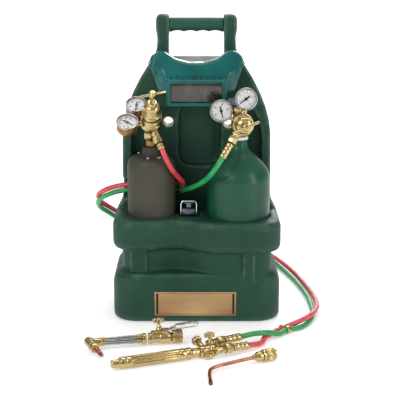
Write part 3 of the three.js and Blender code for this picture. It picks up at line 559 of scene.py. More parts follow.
def throughPoints(points, step):
    # Points a step apart on a smooth curve through the given ones
    points = [Vector(p) for p in points]
    points = [2 * points[0] - points[1], *points, 2 * points[-1] - points[-2]]
    line = []
    for a, b, c, d in zip(points, points[1:], points[2:], points[3:]):
        first, second, third = (sqrt((q - p).length) for p, q in ((a, b), (b, c), (c, d)))
        leave = ((b - a) / first - (c - a) / (first + second) + (c - b) / second) * second
        arrive = ((c - b) / second - (d - b) / (second + third) + (d - c) / third) * second
        count = max(1, round((c - b).length / step))
        for i in range(count):
            t = i / count
            line.append(b + leave * t + (3 * (c - b) - 2 * leave - arrive) * t**2
                        + (2 * (b - c) + leave + arrive) * t**3)
    return line + [points[-2]]


def smoothStep(share):
    share = min(1, max(0, share))
    return share * share * (3 - 2 * share)

# Hoses: from the regulators through the stand's notch to a coil behind it, and on to the torch

redUpper = [
    (-0.071, -0.0702, 0.3629), (-0.0666, -0.0736, 0.3525), (-0.0595, -0.072, 0.336),
    (-0.0495, -0.061, 0.316), (-0.037, -0.042, 0.296), (-0.0285, -0.019, 0.2815),
    (-0.032, 0.006, 0.2725), (-0.048, 0.025, 0.269), (-0.07, 0.0355, 0.2675),
    (-0.096, 0.0395, 0.2665), (-0.13, 0.039, 0.265), (-0.165, 0.04, 0.2615),
    (-0.196, 0.05, 0.251), (-0.218, 0.076, 0.232), (-0.216, 0.11, 0.208),
    (-0.189, 0.139, 0.181), (-0.148, 0.176, 0.141), (-0.11, 0.213, 0.098),
    (-0.079, 0.245, 0.063), (-0.0605, 0.269, 0.0445),
]
greenUpper = [
    (0.0512, -0.1242, 0.3548), (0.0455, -0.1279, 0.3455), (0.0365, -0.122, 0.33),
    (0.023, -0.098, 0.308), (0.005, -0.064, 0.287), (-0.014, -0.035, 0.272),
    (-0.031, 0.003, 0.261), (-0.047, 0.024, 0.257), (-0.0695, 0.0355, 0.2555),
    (-0.0955, 0.0395, 0.2545), (-0.129, 0.039, 0.253), (-0.1625, 0.0395, 0.25),
    (-0.192, 0.047, 0.24), (-0.216, 0.0695, 0.222), (-0.219, 0.1035, 0.1985),
    (-0.194, 0.134, 0.171), (-0.1535, 0.171, 0.1315), (-0.1155, 0.2075, 0.0885),
    (-0.0835, 0.24, 0.053), (-0.0645, 0.264, 0.0345),
]
redLower = [
    (0.0625, 0.379, 0.0174), (0.11, 0.378, 0.0174), (0.15, 0.364, 0.0174), (0.182, 0.33, 0.0174),
    (0.208, 0.267, 0.0166), (0.233, 0.2, 0.011), (0.251, 0.12, 0.008), (0.262, 0.04, 0.008),
    (0.263, -0.02, 0.011), (0.257, -0.07, 0.016), (0.241, -0.115, 0.018), (0.214, -0.146, 0.015),
    (0.177, -0.169, 0.0079), (0.152, -0.196, 0.0068), (0.137, -0.219, 0.0066),
    (0.131, -0.243, 0.0068), (0.121, -0.259, 0.0086), (0.1097, -0.2677, 0.0103),
    (0.1017, -0.2728, 0.01115),
]
greenLower = [
    (0.0625, 0.379, 0.0058), (0.11, 0.378, 0.0058), (0.15, 0.364, 0.0058), (0.181, 0.329, 0.0058),
    (0.202, 0.265, 0.0058), (0.221, 0.197, 0.0058), (0.238, 0.118, 0.0058), (0.249, 0.04, 0.0058),
    (0.251, -0.02, 0.0058), (0.249, -0.075, 0.0058), (0.238, -0.12, 0.0058),
    (0.216, -0.157, 0.0058), (0.186, -0.178, 0.0079), (0.166, -0.201, 0.008),
    (0.148, -0.216, 0.016), (0.13, -0.226, 0.0192), (0.112, -0.2315, 0.0192),
    (0.096, -0.2398, 0.0184), (0.0876, -0.2452, 0.0182),
]
hose = {"radius": 5.5, "length": 3.66, "step": 4}
coil = {
    "middle": (20, 305), "radii": (74, 62.5, 51), "first": 190, "last": 5.278, "perTurn": 30,
    "upper": 27.5, "lower": 5.5, "pair": 11, "in": (0.74, 1.74), "drop": (2.48, 2.82),
    "out": (3.25, 4.25),
    "slide": 0.3,
}


def coilPoint(turns, level):
    # Wound inwards in three rings on top, then outwards in three below, the red hose on the green
    outer, middle, inner = coil["radii"]
    pitch, slide = outer - middle, coil["slide"]
    radius = outer - pitch * sum(smoothStep((turns - at) / slide) for at in coil["in"])
    radius += pitch * sum(smoothStep((turns - at) / slide) for at in coil["out"])
    down = smoothStep((turns - coil["drop"][0]) / (coil["drop"][1] - coil["drop"][0]))
    angle = radians(coil["first"]) - 2 * pi * turns
    height = coil["upper"] + (coil["lower"] - coil["upper"]) * down + coil["pair"] * level
    return (coil["middle"][0] + radius * cos(angle), coil["middle"][1] + radius * sin(angle), height)


def hoseLine(upper, lower, level):
    count = round(coil["last"] * coil["perTurn"])
    wound = [coilPoint(coil["last"] * i / count, level) for i in range(count + 1)]
    ends = [[tuple(c * 1000 for c in p) for p in part] for part in (upper, lower)]
    return throughPoints([*ends[0], *wound, *ends[1]], hose["step"])


for name, upper, lower, level in (("red", redUpper, redLower, 1), ("green", greenUpper, greenLower, 0)):
    line = hoseLine(upper, lower, level)
    nodes = [f"{name}_hose_upper", f"{name}_hose_lower", "hose_coil"]
    wire(name + "Hose", line, hose["radius"], name + "Hose", nodes)
    print(name, "hose", round(sum((b - a).length for a, b in zip(line, line[1:]))), "mm long")


def bandPair(name, first, second, along, node):
    # Two brass rings joined by a waist, which hold the hoses side by side
    rings = []
    for middle in (first, second):
        profile = [(5.9, -4.5), (7.5, -4.5), (7.9, -3.6), (7.9, 3.6), (7.5, 4.5), (5.9, 4.5)]
        rings.append((placed(lathe(profile, 32, 0.2, True), aim(middle, along)), "brass"))
    middle = (Vector(first) + Vector(second)) / 2
    waist = placed(block(3.2, 7, 6, (0, 0, 0), 0.8), aim(middle, along))
    return build(name, [*rings, (waist, "brass")], [node])


clips = [
    bandPair("upperHoseBand", (-31.6, 3.5, 273), (-31.6, 3.5, 260.9), (-0.42, 0.875, -0.235),
             "hose_clip_upper"),
    bandPair("lowerHoseBand", (177, -169, 7.9), (186, -178, 7.9), (-0.75, -0.66, 0), "hose_clip_lower"),
]


def coilTie(name, angle):
    # A soft strap round the whole winding, its end lapped on top
    across, up, wall = 19, 22.5, 1.4
    loop = [(cos(t) * across, sin(t) * up) for t in (2 * pi * i / 48 for i in range(48))]
    shape = [(abs(x) ** 0.6 * (1 if x > 0 else -1) * across**0.4,
              abs(z) ** 0.6 * (1 if z > 0 else -1) * up**0.4)
             for x, z in loop]
    body = bmesh.new()
    ring = [body.verts.new((x, -8, z)) for x, z in shape]
    edges = [body.edges.new(pair) for pair in zip(ring, ring[1:] + ring[:1])]
    made = bmesh.ops.extrude_edge_only(body, edges=edges)
    moveNew(body, made, 0, 16, 0)
    bmesh.ops.recalc_face_normals(body, faces=body.faces)
    bmesh.ops.solidify(body, geom=body.faces[:], thickness=wall)
    lap = block(20, 15, 1.6, (4, 0, up + 1.2), 0.5)
    x, y = coil["middle"]
    spot = shift(x, y, 22.6) @ turnBy(angle) @ shift(62.5, 0, 0)
    return build(name, [(placed(body, spot), "rubber"), (placed(lap, spot), "rubber")], (), "stand")


ties = [coilTie("coilTieLeft", 250), coilTie("coilTieRight", 20)]
print("hoses made")

# Stand, grip and plate

stand = {"cell": 0.0027, "rounds": 9, "keep": 0.5}
body = moulded("mouldedStand", "stand_body", stand["cell"], stand["rounds"], "stand", stand["keep"])
settle(body, ["stand_body"])
grip = moulded("ribbedGrip", "handle_grip", 0.0014, 5, "grip", 0.8)
settle(grip, ["handle_grip"])
print("stand made:", len(body.data.polygons), "faces")

bushing = {"reach": 11.9, "bore": 9.6, "spots": ((-61, 402), (69, 399))}
for side, (x, z) in zip(("left", "right"), bushing["spots"]):
    # A pale sleeve with a flange lines each hole in the panel
    profile = [(bushing["bore"], 0), (bushing["reach"] + 0.2, 0), (bushing["reach"] + 0.2, 1.2),
               (11.1, 1.2), (11.1, 40), (bushing["bore"], 40)]
    sleeve = placed(lathe(profile, 48, 0.5, True), aim((x, 43.4, z), (0, 1, 0)))
    build(side + "HoleSleeve", [(sleeve, "ivory")], (), "stand")

plate = {"left": -88, "right": 83, "bottom": 16, "top": 68, "front": -116.6, "bar": 4.5, "inset": 3.4}
width, height = plate["right"] - plate["left"], plate["top"] - plate["bottom"]
middle = ((plate["right"] + plate["left"]) / 2, plate["front"] + 0.7,
          (plate["top"] + plate["bottom"]) / 2)
parts = [(block(width, 1.4, height, middle, 0.5), "plate")]
for side in (-1, 1):
    x = middle[0] + side * (width / 2 - plate["inset"] - plate["bar"] / 2)
    parts.append((block(plate["bar"], 0.5, height - 2 * plate["inset"],
                        (x, plate["front"] - 0.15, middle[2]), 0.15),
                  "plateBar"))
    z = middle[2] + side * (height / 2 - plate["inset"])
    parts.append((block(width - 2 * plate["inset"], 0.4, 0.7, (middle[0], plate["front"] - 0.1, z), 0.1),
                  "plateBar"))
build("basePlate", parts, ["name_plate"])

# Cylinders and their valves

footHeight = 25.3  # where both cylinders stand in their wells
acetylene = {"x": -96, "y": -21, "radius": 51, "shoulder": 341, "neckRadius": 19}
r, top, neck = acetylene["radius"], acetylene["shoulder"], acetylene["neckRadius"]
shell = lathe([
    (0, 31.3), (r - 16, 29), (r - 13, footHeight), (r - 3, footHeight), (r, 30), (r, top - 26),
    (r - 0.6, top - 19),
    (r - 2.4, top - 12), (r - 5.4, top - 6.5), (r - 9.5, top - 2.8), (r - 14, top - 1),
    (r - 20, top + 0.2),
    (neck + 5, top + 0.8), (neck + 2, top + 1.6), (neck, top + 4), (neck - 0.6, 357), (neck - 2, 359.9),
    (0, 359.9),
], 96, 0.6)
spot = shift(acetylene["x"], acetylene["y"], 0)
seamed = [(placed(shell, spot), "grey")]
for angle in (262, 300, 30, 140):
    # Fuse plugs round the shoulder
    where = spot @ turnBy(angle) @ shift(34, 0, top - 1.2)
    seamed.append((placed(hexBar(9, 3.4, 0.5), where), "steel"))
    seamed.append((placed(rod(2.4, 1.2, 20), where), "steel"))
build("acetyleneCylinder", seamed, ["acetylene_cylinder"])

oxygen = {"x": 89, "y": -36.5, "radius": 66.5, "shoulder": 330, "neckRadius": 17}
r, top, neck = oxygen["radius"], oxygen["shoulder"], oxygen["neckRadius"]
shell = lathe([
    (0, 33.3), (r - 19, 30), (r - 15, footHeight), (r - 4, footHeight), (r, 31), (r, top - 38),
    (r - 0.8, top - 30),
    (r - 3, top - 22), (r - 6.4, top - 14.5), (r - 11, top - 7.4), (r - 17, top - 0.2),
    (r - 23, top + 6.4),
    (r - 30, top + 13), (r - 36, top + 18), (neck + 8.5, top + 23), (neck + 4, top + 28),
    (neck + 1.2, top + 34),
    (neck, top + 39), (neck, 377.6), (0, 377.6),
], 104, 0.6)
spot = shift(oxygen["x"], oxygen["y"], 0)
build("oxygenCylinder", [(placed(shell, spot), "green")], ["oxygen_cylinder"])
collar = lathe([(13, 378.4), (18.6, 378.4), (19.2, 379), (19.2, 383.4), (18.6, 384.2), (13, 384.2)], 48,
               0.3, True)
build("neckCollar", [(placed(collar, spot), "white")], ["oxygen_neck_ring"])


def regulatorOf(start, axis, gauges, outletEnd, barAngle):
    along = Vector(axis).normalized()
    level = -Vector((0, 0, 1)).cross(along).normalized()
    level = -level if level.x < 0 else level
    up = along.cross(level)
    facing = Matrix((level, up, along)).transposed().to_4x4()

    def point(distance, angle=0, reach=0):
        turn = radians(angle)
        return Vector(start) + along * distance + level * reach * cos(turn) + up * reach * sin(turn)

    return {"start": Vector(start), "axis": along, "facing": facing, "gauges": gauges, "point": point,
            "outletEnd": Vector(outletEnd), "barAngle": barAngle}


regulators = {
    "oxygen": regulatorOf((89.6, -53, 418), (0.064, -1, 0.067), {"high": 82, "low": 148},
                          (51.5, -124, 355.3), 2.04),
    "acetylene": regulatorOf((-96.6, -25.5, 380), (0.066, -0.575, 0.815), {"high": 124, "low": 189},
                             (-71.2, -70, 363.4), 1.94),
}


def back(regulator, distance=0):
    return aim(regulator["point"](distance), -regulator["axis"])


stem = lathe([(0, 378.3), (10.5, 378.3), (11.5, 380), (11.5, 401), (14.4, 404), (15, 406), (15, 429),
              (14, 431),
              (11.5, 434), (11.5, 444), (10, 446), (5, 446.5), (4.4, 444)], 48, 0.4)
outlet = lathe([(0, 0), (9.4, 0), (10.4, 1), (10.4, 20), (12.2, 22), (12.2, 30), (0, 30)], 40, 0.3)
plug = placed(hexBar(14, 9, 0.7), aim((oxygen["x"] + 13, oxygen["y"], 418), (1, 0, 0)))
build("oxygenValve", [
    (placed(stem, spot), "brass"),
    (placed(hexBar(23, 9, 0.8), spot @ shift(0, 0, 437.5)), "brass"),
    (placed(outlet, back(regulators["oxygen"])), "brass"),
    (plug, "brass"),
], ["oxygen_valve"])

wheel = placed(lobed(26.5, 3.4, 8, 12, 2.2, 0.7), shift(0, 0, 452.4))
hub = lathe([(0, 463), (5, 463), (8.6, 464.2), (9.4, 466), (0, 466.4)], 40, 0.4)
build("oxygenHandwheel", [
    (placed(wheel, spot), "greyPlastic"),
    (placed(hub, spot), "steel"),
    (placed(rod(4, 22, 24), spot @ shift(0, 0, 431)), "steel"),
], ["oxygen_handwheel"])

spot = shift(acetylene["x"], acetylene["y"], 0)
neckNut = lathe([(0, 360.3), (10.4, 360.3), (11, 361.4), (11, 374), (9.6, 376.2), (0, 376.4)], 40, 0.3)
seat = lathe([(3.6, 364), (8, 364), (8, 380), (7.2, 382), (7.2, 386), (3.6, 386)], 36, 0.3, True)
build("acetyleneValve", [
    (placed(neckNut, spot), "oldBrass"),
    (placed(seat, spot @ shift(0, 15, 0)), "oldBrass"),
    (block(13, 15, 11, (acetylene["x"], acetylene["y"] + 8, 370), 1.2), "oldBrass"),
    (placed(rod(8.4, 15, 36, 0.5), back(regulators["acetylene"])), "oldBrass"),
    (placed(hexBar(17, 6, 0.6), back(regulators["acetylene"], -6)), "oldBrass"),
], ["acetylene_valve"])
build("acetyleneStem", [
    (placed(rod(3, 22, 24), spot @ shift(0, 15, 375)), "steel"),
    (placed(block(7, 7, 12, (0, 15, 394), 0.7), spot), "steel"),
], ["acetylene_valve_stem"])
print("stand, cylinders and valves made")

# Regulators and gauges

gauge = {"reach": 51, "radius": 23, "face": 20, "from": 32}
scales = {
    "oxygen_high": {"figures": ("0", "1", "2", "3", "4"), "ticks": 40, "red": None},
    "oxygen_low": {"figures": ("0", "40", "80", "120", "160"), "ticks": 40, "red": None},
    "acetylene_high": {"figures": ("0", "100", "200", "300", "400"), "ticks": 40, "red": None},
    "acetylene_low": {"figures": ("0", "5", "10", "15", "20", "25", "30"), "ticks": 30,
                      "red": (0.5, 1.0)},
}


def figure(text, size):
    # A number for a dial, as a thin solid
    curve = bpy.data.curves.new("figure", "FONT")
    curve.body = text
    curve.size = size
    curve.extrude = 0.05
    curve.offset = 0.07
    curve.resolution_u = 2
    curve.align_x = "CENTER"
    curve.align_y = "CENTER"
    holder = addObject("figure", curve)
    mesh = bpy.data.meshes.new_from_object(holder)
    body = bmesh.new()
    body.from_mesh(mesh)
    bmesh.ops.remove_doubles(body, verts=body.verts, dist=1e-4)
    bpy.data.objects.remove(holder)
    return body


def fitting(start, end):
    # A swivel nut, a rubber ring and a long ferrule crimped on the hose
    line = Vector(end) - Vector(start)
    length = line.length
    place = aim(start, line)
    nut = hexBar(18, 14.6, 0.9)
    ring = lathe([(5.4, 14.4), (8.4, 14.4), (8.8, 15.2), (8.4, 16.4), (5.4, 16.4)], 40, 0.2, True)
    profile = [(0, 16), (6.8, 16), (7.6, 17.2), (8, 19)]
    for i in range(3):
        z = 21 + (length - 25) * i / 3
        step = (length - 25) / 3
        profile += [(8, z), (7.4, z + step * 0.28), (7.4, z + step * 0.42), (8, z + step * 0.7)]
    profile += [(8, length - 2.4), (7.3, length - 0.2), (0, length - 0.2)]
    return [(placed(nut, place), "brass"), (placed(ring, place), "black"),
            (placed(lathe(profile, 48, 0.25), place), "brass")]


def makeDial(regulator, kind, angle):
    scale = scales[kind]
    parts = [(lathe([(0, gauge["face"] - 0.4), (20.3, gauge["face"] - 0.4), (20.3, gauge["face"]),
                     (0, gauge["face"])], 64, 0), "dial")]
    turned = turnBy(angle - 90)
    face = gauge["face"] + 0.06
    for i in range(scale["ticks"] + 1):
        long = i % 5 == 0
        turn = radians(135 - 270 * i / scale["ticks"])
        tick = block(0.75 if long else 0.36, 2.8 if long else 1.6, 0.12,
                     (0, 17.8 if long else 18.4, face), 0)
        parts.append((placed(tick, turned @ Matrix.Rotation(turn, 4, "Z")), "black"))
    for i, text in enumerate(scale["figures"]):
        turn = radians(135 - 270 * i / (len(scale["figures"]) - 1) + 90)
        spot = shift(12.8 * cos(turn), 12.8 * sin(turn), face)
        parts.append((placed(figure(text, 4.2), turned @ spot), "black"))
    arc = lathe([(19.1, face - 0.05), (19.4, face - 0.05), (19.4, face + 0.04), (19.1, face + 0.04)], 64,
                0, True)
    parts.append((arc, "black"))
    if scale["red"]:
        for i in range(34):
            share = scale["red"][0] + (scale["red"][1] - scale["red"][0]) * i / 33
            turn = radians(135 - 270 * share)
            mark = block(1.5, 1.1, 0.12, (0, 15.4, face), 0)
            parts.append((placed(mark, turned @ Matrix.Rotation(turn, 4, "Z")), "redMark"))
    place = Matrix.Translation(regulator["point"](gauge["from"], angle,
                                                  gauge["reach"])) @ regulator["facing"]
    return [(placed(part, place), finish) for part, finish in parts]


def makeGauge(name, regulator, kind, angle, caseFinish):
    r = gauge["radius"]
    place = Matrix.Translation(regulator["point"](gauge["from"], angle,
                                                  gauge["reach"])) @ regulator["facing"]
    case = lathe([(0, 0), (r - 6, 0), (r - 3, 0.8), (r - 1.4, 2.6), (r - 1, 5), (r - 1, 20.2),
                  (r - 2.6, 20.2),
                  (r - 2.6, 19.2), (0, 19.2)], 72, 0.3)
    bezel = lathe([(r - 2.6, 19.4), (r - 0.9, 19.4), (r - 0.9, 20.6), (r, 21.6), (r, 25), (r - 0.9, 26),
                   (r - 2, 26), (r - 2.7, 24.6), (r - 2.9, 21)], 72, 0.25, True)
    glass = lathe([(0, 24.6), (18, 24.3), (20.2, 23.9), (20.2, 23.3), (0, 23.3)], 64, 0.15)
    post = lathe([(0, 19.8), (1.8, 19.8), (1.8, 21.3), (0, 21.3)], 24, 0.1)
    start = regulator["point"](bodyMiddle - 6, angle, gauge["reach"] - gauge["radius"] - 3.8)
    end = regulator["point"](bodyMiddle - 6, angle, gauge["reach"] - 12)
    neck = between(5.4, start, end)
    nut = placed(hexBar(13, 6.5, 0.7), aim(start, Vector(end) - Vector(start)))
    build(name, [(placed(case, place), caseFinish), (placed(bezel, place), "bezel"),
                 (placed(glass, place), "crystal"),
                 (placed(post, place), "steel"), (neck, "brass"),
                 (nut, "brass")] + makeDial(regulator, kind, angle),
          [kind + "_gauge"])
    # Needle: a tapered blade with a broad tail, turning on the post
    blade = bmesh.new()
    outline = [(-0.6, 15), (-1.6, -2), (-1.4, -6.4), (-2.2, -9), (2.2, -9), (1.4, -6.4), (1.6, -2),
               (0.6, 15)]
    flat = blade.faces.new([blade.verts.new((x, y, 21.7)) for x, y in outline])
    raised = bmesh.ops.extrude_face_region(blade, geom=[flat])
    moveNew(blade, raised, 0, 0, 0.5)
    bmesh.ops.recalc_face_normals(blade, faces=blade.faces)
    cap = lathe([(0, 21.6), (3.1, 21.6), (3.1, 22.5), (2.4, 23.1), (0, 23.1)], 32, 0.2)
    turned = place @ turnBy(angle + 45)
    build(name + "Needle", [(placed(blade, turned), "black"), (placed(cap, turned), "black")],
          [kind + "_needle"])


bodyMiddle = 50
for gas, regulator in regulators.items():
    place = aim(regulator["start"], regulator["axis"])
    middle = regulator["point"](bodyMiddle - 6)
    shell = lathe([
        (0, 1), (6.8, 1), (7.5, 1.8), (7.5, 21), (9.5, 22.5), (9.5, 26), (13.5, 27.5), (15.5, 30.5),
        (19.5, 33),
        (21.4, 35.6), (22, 38.5), (22, 59.4), (21.6, 60.2), (21.6, 62), (0, 62),
    ], 72, 0.4)
    parts = [(placed(shell, place), "brass")]
    for angle in regulator["gauges"].values():
        parts.append((between(6.6, middle, regulator["point"](bodyMiddle - 6, angle, 24.2)), "brass"))
    down = regulator["outletEnd"] - middle
    parts.append((placed(rod(7.4, 31, 36, 0.4), aim(middle, down)), "brass"))
    parts.append((placed(hexBar(16, 5, 0.5), aim(middle + down.normalized() * 23.4, down)), "brass"))
    # A relief plug on the side away from the gauges
    side = regulator["point"](bodyMiddle - 2, 300, 20)
    out = side - regulator["point"](bodyMiddle - 2)
    parts.append((placed(hexBar(9, 5, 0.5), aim(side, out)), "brass"))
    build(gas + "Regulator", parts, [gas + "_regulator_body"])

    nut = placed(hexBar(27, 17, 1.3), place @ shift(0, 0, 2))
    groove = placed(lathe([(7.9, 18.4), (12.8, 18.4), (12.2, 20.2), (7.9, 20.2)], 48, 0.3, True), place)
    build(gas + "InletNut", [(nut, "brass"), (groove, "brass")], [gas + "_inlet_nut"])

    build(gas + "Diaphragm", [(placed(rod(20.6, 1.2, 64, 0.2), place @ shift(0, 0, 62.4)), "rubber")],
          [gas + "_diaphragm"])

    dome = lathe([
        (13, 64), (20.8, 64), (21.3, 64.8), (21.3, 70), (20.6, 71.2), (18.9, 71.6), (18.2, 72.8),
        (17.7, 76),
        (17.7, 77.4), (17.2, 78), (17, 88.6), (16.2, 91.4), (14.2, 94), (11.4, 95.6), (9.7, 96),
        (9.7, 101),
        (9, 102), (5.4, 102), (5, 101.4), (5, 94), (13, 91),
    ], 72, 0.3, True)
    build(gas + "Bonnet", [(placed(dome, place), "brass")], [gas + "_bonnet"])

    turns = [(9.5 * cos(i * pi / 12), 9.5 * sin(i * pi / 12), 66 + 20 * i / 96) for i in range(97)]
    wire(gas + "Spring", [place @ Vector(p) for p in turns], 1.2, "steel", [gas + "_adjusting_spring"], 2)

    threaded = lathe([(0, 95)] + [(4.6 if i % 2 else 4.0,
                                   96 + 0.75 * i) for i in range(28)] + [(4.2, 117.4), (0, 117.4)],
                     36, 0)
    hub = lathe([(0, 115.8), (6.4, 115.8), (7.2, 117), (7.6, 120), (7.6, 126.4), (6.8, 128.6),
                 (5, 129.8), (0, 130)],
                48, 0.3)
    bar = placed(rod(2.7, 56, 28, 0.9), shift(0, 0, -28))
    bar = placed(bar, turnBy(90, "X"), Matrix.Rotation(regulator["barAngle"], 4, "Z"),
                 shift(0, 0, 123))
    build(gas + "AdjustingScrew", [(placed(threaded, place), "brass"), (placed(hub, place), "brass"),
                                   (placed(bar, place), "brass")], [gas + "_adjusting_screw"])

    begin = middle + down.normalized() * 31.3
    build(gas + "HoseFitting", fitting(begin, regulator["outletEnd"]), [gas + "_hose_fitting"])
    for kind, angle in regulator["gauges"].items():
        case = "oldBrass" if gas == "acetylene" else "bezel"
        makeGauge(gas + kind.capitalize() + "Gauge", regulator, gas + "_" + kind, angle, case)
print("regulators made")

# Torch handle


def group(x, y, z, turn):
    return shift(x, y, z) @ turnBy(turn)


alongX = turnBy(90, "Y")


def knobOf(radius, height, spindle, spindleLength, start, direction, place, finish="brass",
           capFinish=None):
    wheel = placed(lobed(radius, 2.0, 6, height, 1.0, 0.6), shift(0, 0, spindleLength))
    wide = radius - 2.6 if capFinish == "black" else 5
    top = placed(lathe([(0, 0), (wide, 0), (wide, 0.8), (wide - 1.6, 1.9), (0, 2.2)], 32, 0.2),
                 shift(0, 0, spindleLength + height))
    shaft = rod(spindle, spindleLength + 1, 24, 0.2)
    collarNut = placed(hexBar(9, 4, 0.4), shift(0, 0, 4.2))
    seat = place @ aim(start, direction)
    return [(placed(wheel, seat), finish), (placed(top, seat), capFinish or finish),
            (placed(shaft, seat), finish),
            (placed(collarNut, seat), finish)]


torchPlace = group(-160, -371, 12.1, 20.5)
fluted = placed(lobed(11.6, 1.7, 12, 92, 1.6, 0.9), shift(0, 0, 42))
barrel = lathe([
    (0, 0), (6.2, 0), (7, 0.8), (7, 1.6), (8, 2.4), (8, 14.6), (9.6, 15.4), (9.6, 16.6), (11, 17.4),
    (11.6, 19),
    (11.6, 27), (10.4, 28.6), (10.4, 29.8), (11.4, 31), (11.4, 39), (10.2, 41), (9.9, 43), (9.9, 133),
    (10.2, 135),
    (11.4, 137), (11.6, 144), (10.2, 147), (10.2, 150), (11.6, 152), (11.6, 157), (9, 161), (8.4, 168),
    (8, 176),
    (0, 176),
], 64, 0.4)
rings = [(8 if i % 2 else 7.3, 2.8 + 0.85 * i) for i in range(14)]
threadRing = lathe([(5, 2.6), *rings, (5, 14.6)], 48, 0, True)
build("torchBarrel", [(placed(barrel, torchPlace @ alongX), "brass"),
                      (placed(fluted, torchPlace @ alongX), "brass"),
                      (placed(threadRing, torchPlace @ alongX), "brass")], ["torch_barrel"])

ports = {
    "oxygen": {"start": (221, 19.5, 7.5), "end": (275.5, 31, 6.1)},
    "acetylene": {"start": (226, -10.5, 3.5), "end": (279.1, 0.3, -0.9)},
}
knobs = {
    "oxygen": {"start": (203, 10, 13), "direction": (0, 0.33, 0.94)},
    "acetylene": {"start": (183, 14, 8), "direction": (-0.15, 0.92, 0.36)},
}
trunk = lathe([(0, 0), (10.6, 0), (12, 1.4), (12, 9), (11, 10.4), (11, 21), (12, 22.4), (12, 30.6),
               (10.8, 32), (0, 32)],
              48, 0.4)
parts = [(placed(trunk, torchPlace @ shift(176.3, 0, 0) @ alongX), "brass")]
parts.append((placed(block(22, 25, 18, (204, 3, 0), 4.5, 4), torchPlace), "brass"))
parts.append((placed(block(16, 12, 10, (190, -13, -6), 3, 3), torchPlace), "brass"))
for port in ports.values():
    start, end = Vector(port["start"]), Vector(port["end"])
    parts.append((placed(rod(6.9, 24, 36, 0.5), torchPlace @ aim(start, start - end)), "brass"))
    parts.append((placed(hexBar(15, 5, 0.6),
                         torchPlace @ aim(start - (end - start).normalized() * 9, start - end)),
                  "brass"))
for knob in knobs.values():
    heading = Vector(knob["direction"]).normalized()
    parts.append((placed(rod(7, 12, 36, 0.8),
                         torchPlace @ aim(Vector(knob["start"]) - heading * 10, heading)), "brass"))
    parts.append((placed(hexBar(11, 3.6, 0.5),
                         torchPlace @ aim(Vector(knob["start"]) - heading * 1.6, heading)), "brass"))
build("torchValveBlock", parts, ["torch_valve_block"])
for gas in ("oxygen", "acetylene"):
    knob, port = knobs[gas], ports[gas]
    heading = Vector(knob["direction"]).normalized()
    made = knobOf(10, 9, 3, 12, Vector(knob["start"]) - heading * 3, heading, torchPlace, "brass",
                  "black" if gas == "acetylene" else "brass")
    build(gas + "TorchKnob", made, [f"torch_{gas}_knob"])
    ends = [torchPlace @ (Vector(port[key]) + Vector((0.3 if key == "start" else 0, 0,
                                                      0))) for key in ("start", "end")]
    build(gas + "TorchFitting", fitting(*ends), [f"torch_{gas}_fitting"])

# Cutting attachment

cutPlace = group(-27, -229, 14.2, 11.5)
tipLine = {"start": (-181.5, -16.5, -1), "direction": (0.36, -0.91, -0.2)}
tipBack = tuple(-c for c in tipLine["direction"])
parts = [
    (placed(lathe([(0, 0), (8.6, 0), (9.5, 1), (9.5, 20), (8.4, 23), (5.6, 25.4), (0, 26)], 40, 0.4),
            cutPlace @ aim(tipLine["start"], tipBack)), "brass"),
    (placed(between(8.4, (-186, 0, 0), (-162, 0, 0), 36, 1.6), cutPlace), "brass"),
    (placed(lathe([(0, 0), (10, 0), (11, 1), (11, 7), (10, 8), (0, 8)], 40, 0.3),
            cutPlace @ shift(-83, 0, 0) @ alongX), "brass"),
]
for y, z in ((0, 6), (-5.6, -3.4), (5.6, -3.4)):
    tube = placed(between(3.3, (-176, y * 0.7, z * 0.8), (-74, y, z), 24, 0.2), cutPlace)
    parts.append((tube, "steel"))
    parts.append((placed(between(4.2, (-165, y * 0.74, z * 0.83), (-157, y * 0.77, z * 0.85), 24, 0.5),
                         cutPlace), "brass"))
    parts.append((placed(between(4.2, (-92, y * 0.96, z * 0.96), (-84, y, z), 24, 0.5), cutPlace),
                  "brass"))
build("cuttingHead", parts, ["cutting_head"])

place = cutPlace @ aim(tipLine["start"], tipLine["direction"])
nut = placed(hexBar(18, 9.6, 1.0), place @ shift(0, 0, 0.3))
build("cuttingTipNut", [(nut, "brass")], ["cutting_tip_nut"])
tip = lathe([(0, 0.4), (6, 0.4), (6, 10.4), (5.9, 13), (5.2, 20), (4.2, 30), (3.4, 35.6), (2.9, 37),
             (1.3, 37),
             (1.3, 34.6), (0, 34.6)], 40, 0.25)
build("cuttingTip", [(placed(tip, place), "copper"),
                     (placed(lathe([(3.1, 31), (4.25, 31), (3.8, 34), (3.5, 35.8), (3.1, 37.1)], 40, 0,
                                   True), place),
                      "burntCopper")], ["cutting_tip"])

knob = {"start": (-47, 8.7, 13), "direction": (0, 0.45, 0.89)}
trunk = lathe([
    (0, 0.3), (10, 0.3), (11, 1.3), (11, 8), (9, 10.4), (9, 20.6), (11, 22.6), (12, 24.6), (12, 42),
    (11, 44),
    (9.6, 46), (8, 48), (8, 68), (7.2, 69), (0, 69),
], 56, 0.4)
parts = [
    (placed(trunk, cutPlace @ shift(-71, 0, 0) @ alongX), "brass"),
    (placed(block(24, 13.6, 20, (-53, 0, 4.4), 3, 3), cutPlace), "brass"),
    (placed(block(8, 13.6, 8, (-42, 0, 4), 1.5, 2), cutPlace), "brass"),
    (placed(rod(6.5, 12, 36, 0.8), cutPlace @ aim((-47, 5, 6), knob["direction"])), "brass"),
]
for side in (-1, 1):
    parts.append((placed(block(13, 2.7, 10, (-36.5, side * 3.65, 13.4), 0.8, 2), cutPlace), "brass"))
parts.append((placed(between(1.5, (-38, -6, 16.8), (-38, 6, 16.8), 20, 0.3), cutPlace), "steel"))
build("cuttingBody", parts, ["cutting_body"])
build("cuttingKnob", knobOf(12, 9, 3, 14, knob["start"], knob["direction"], cutPlace),
      ["cutting_oxygen_knob"])

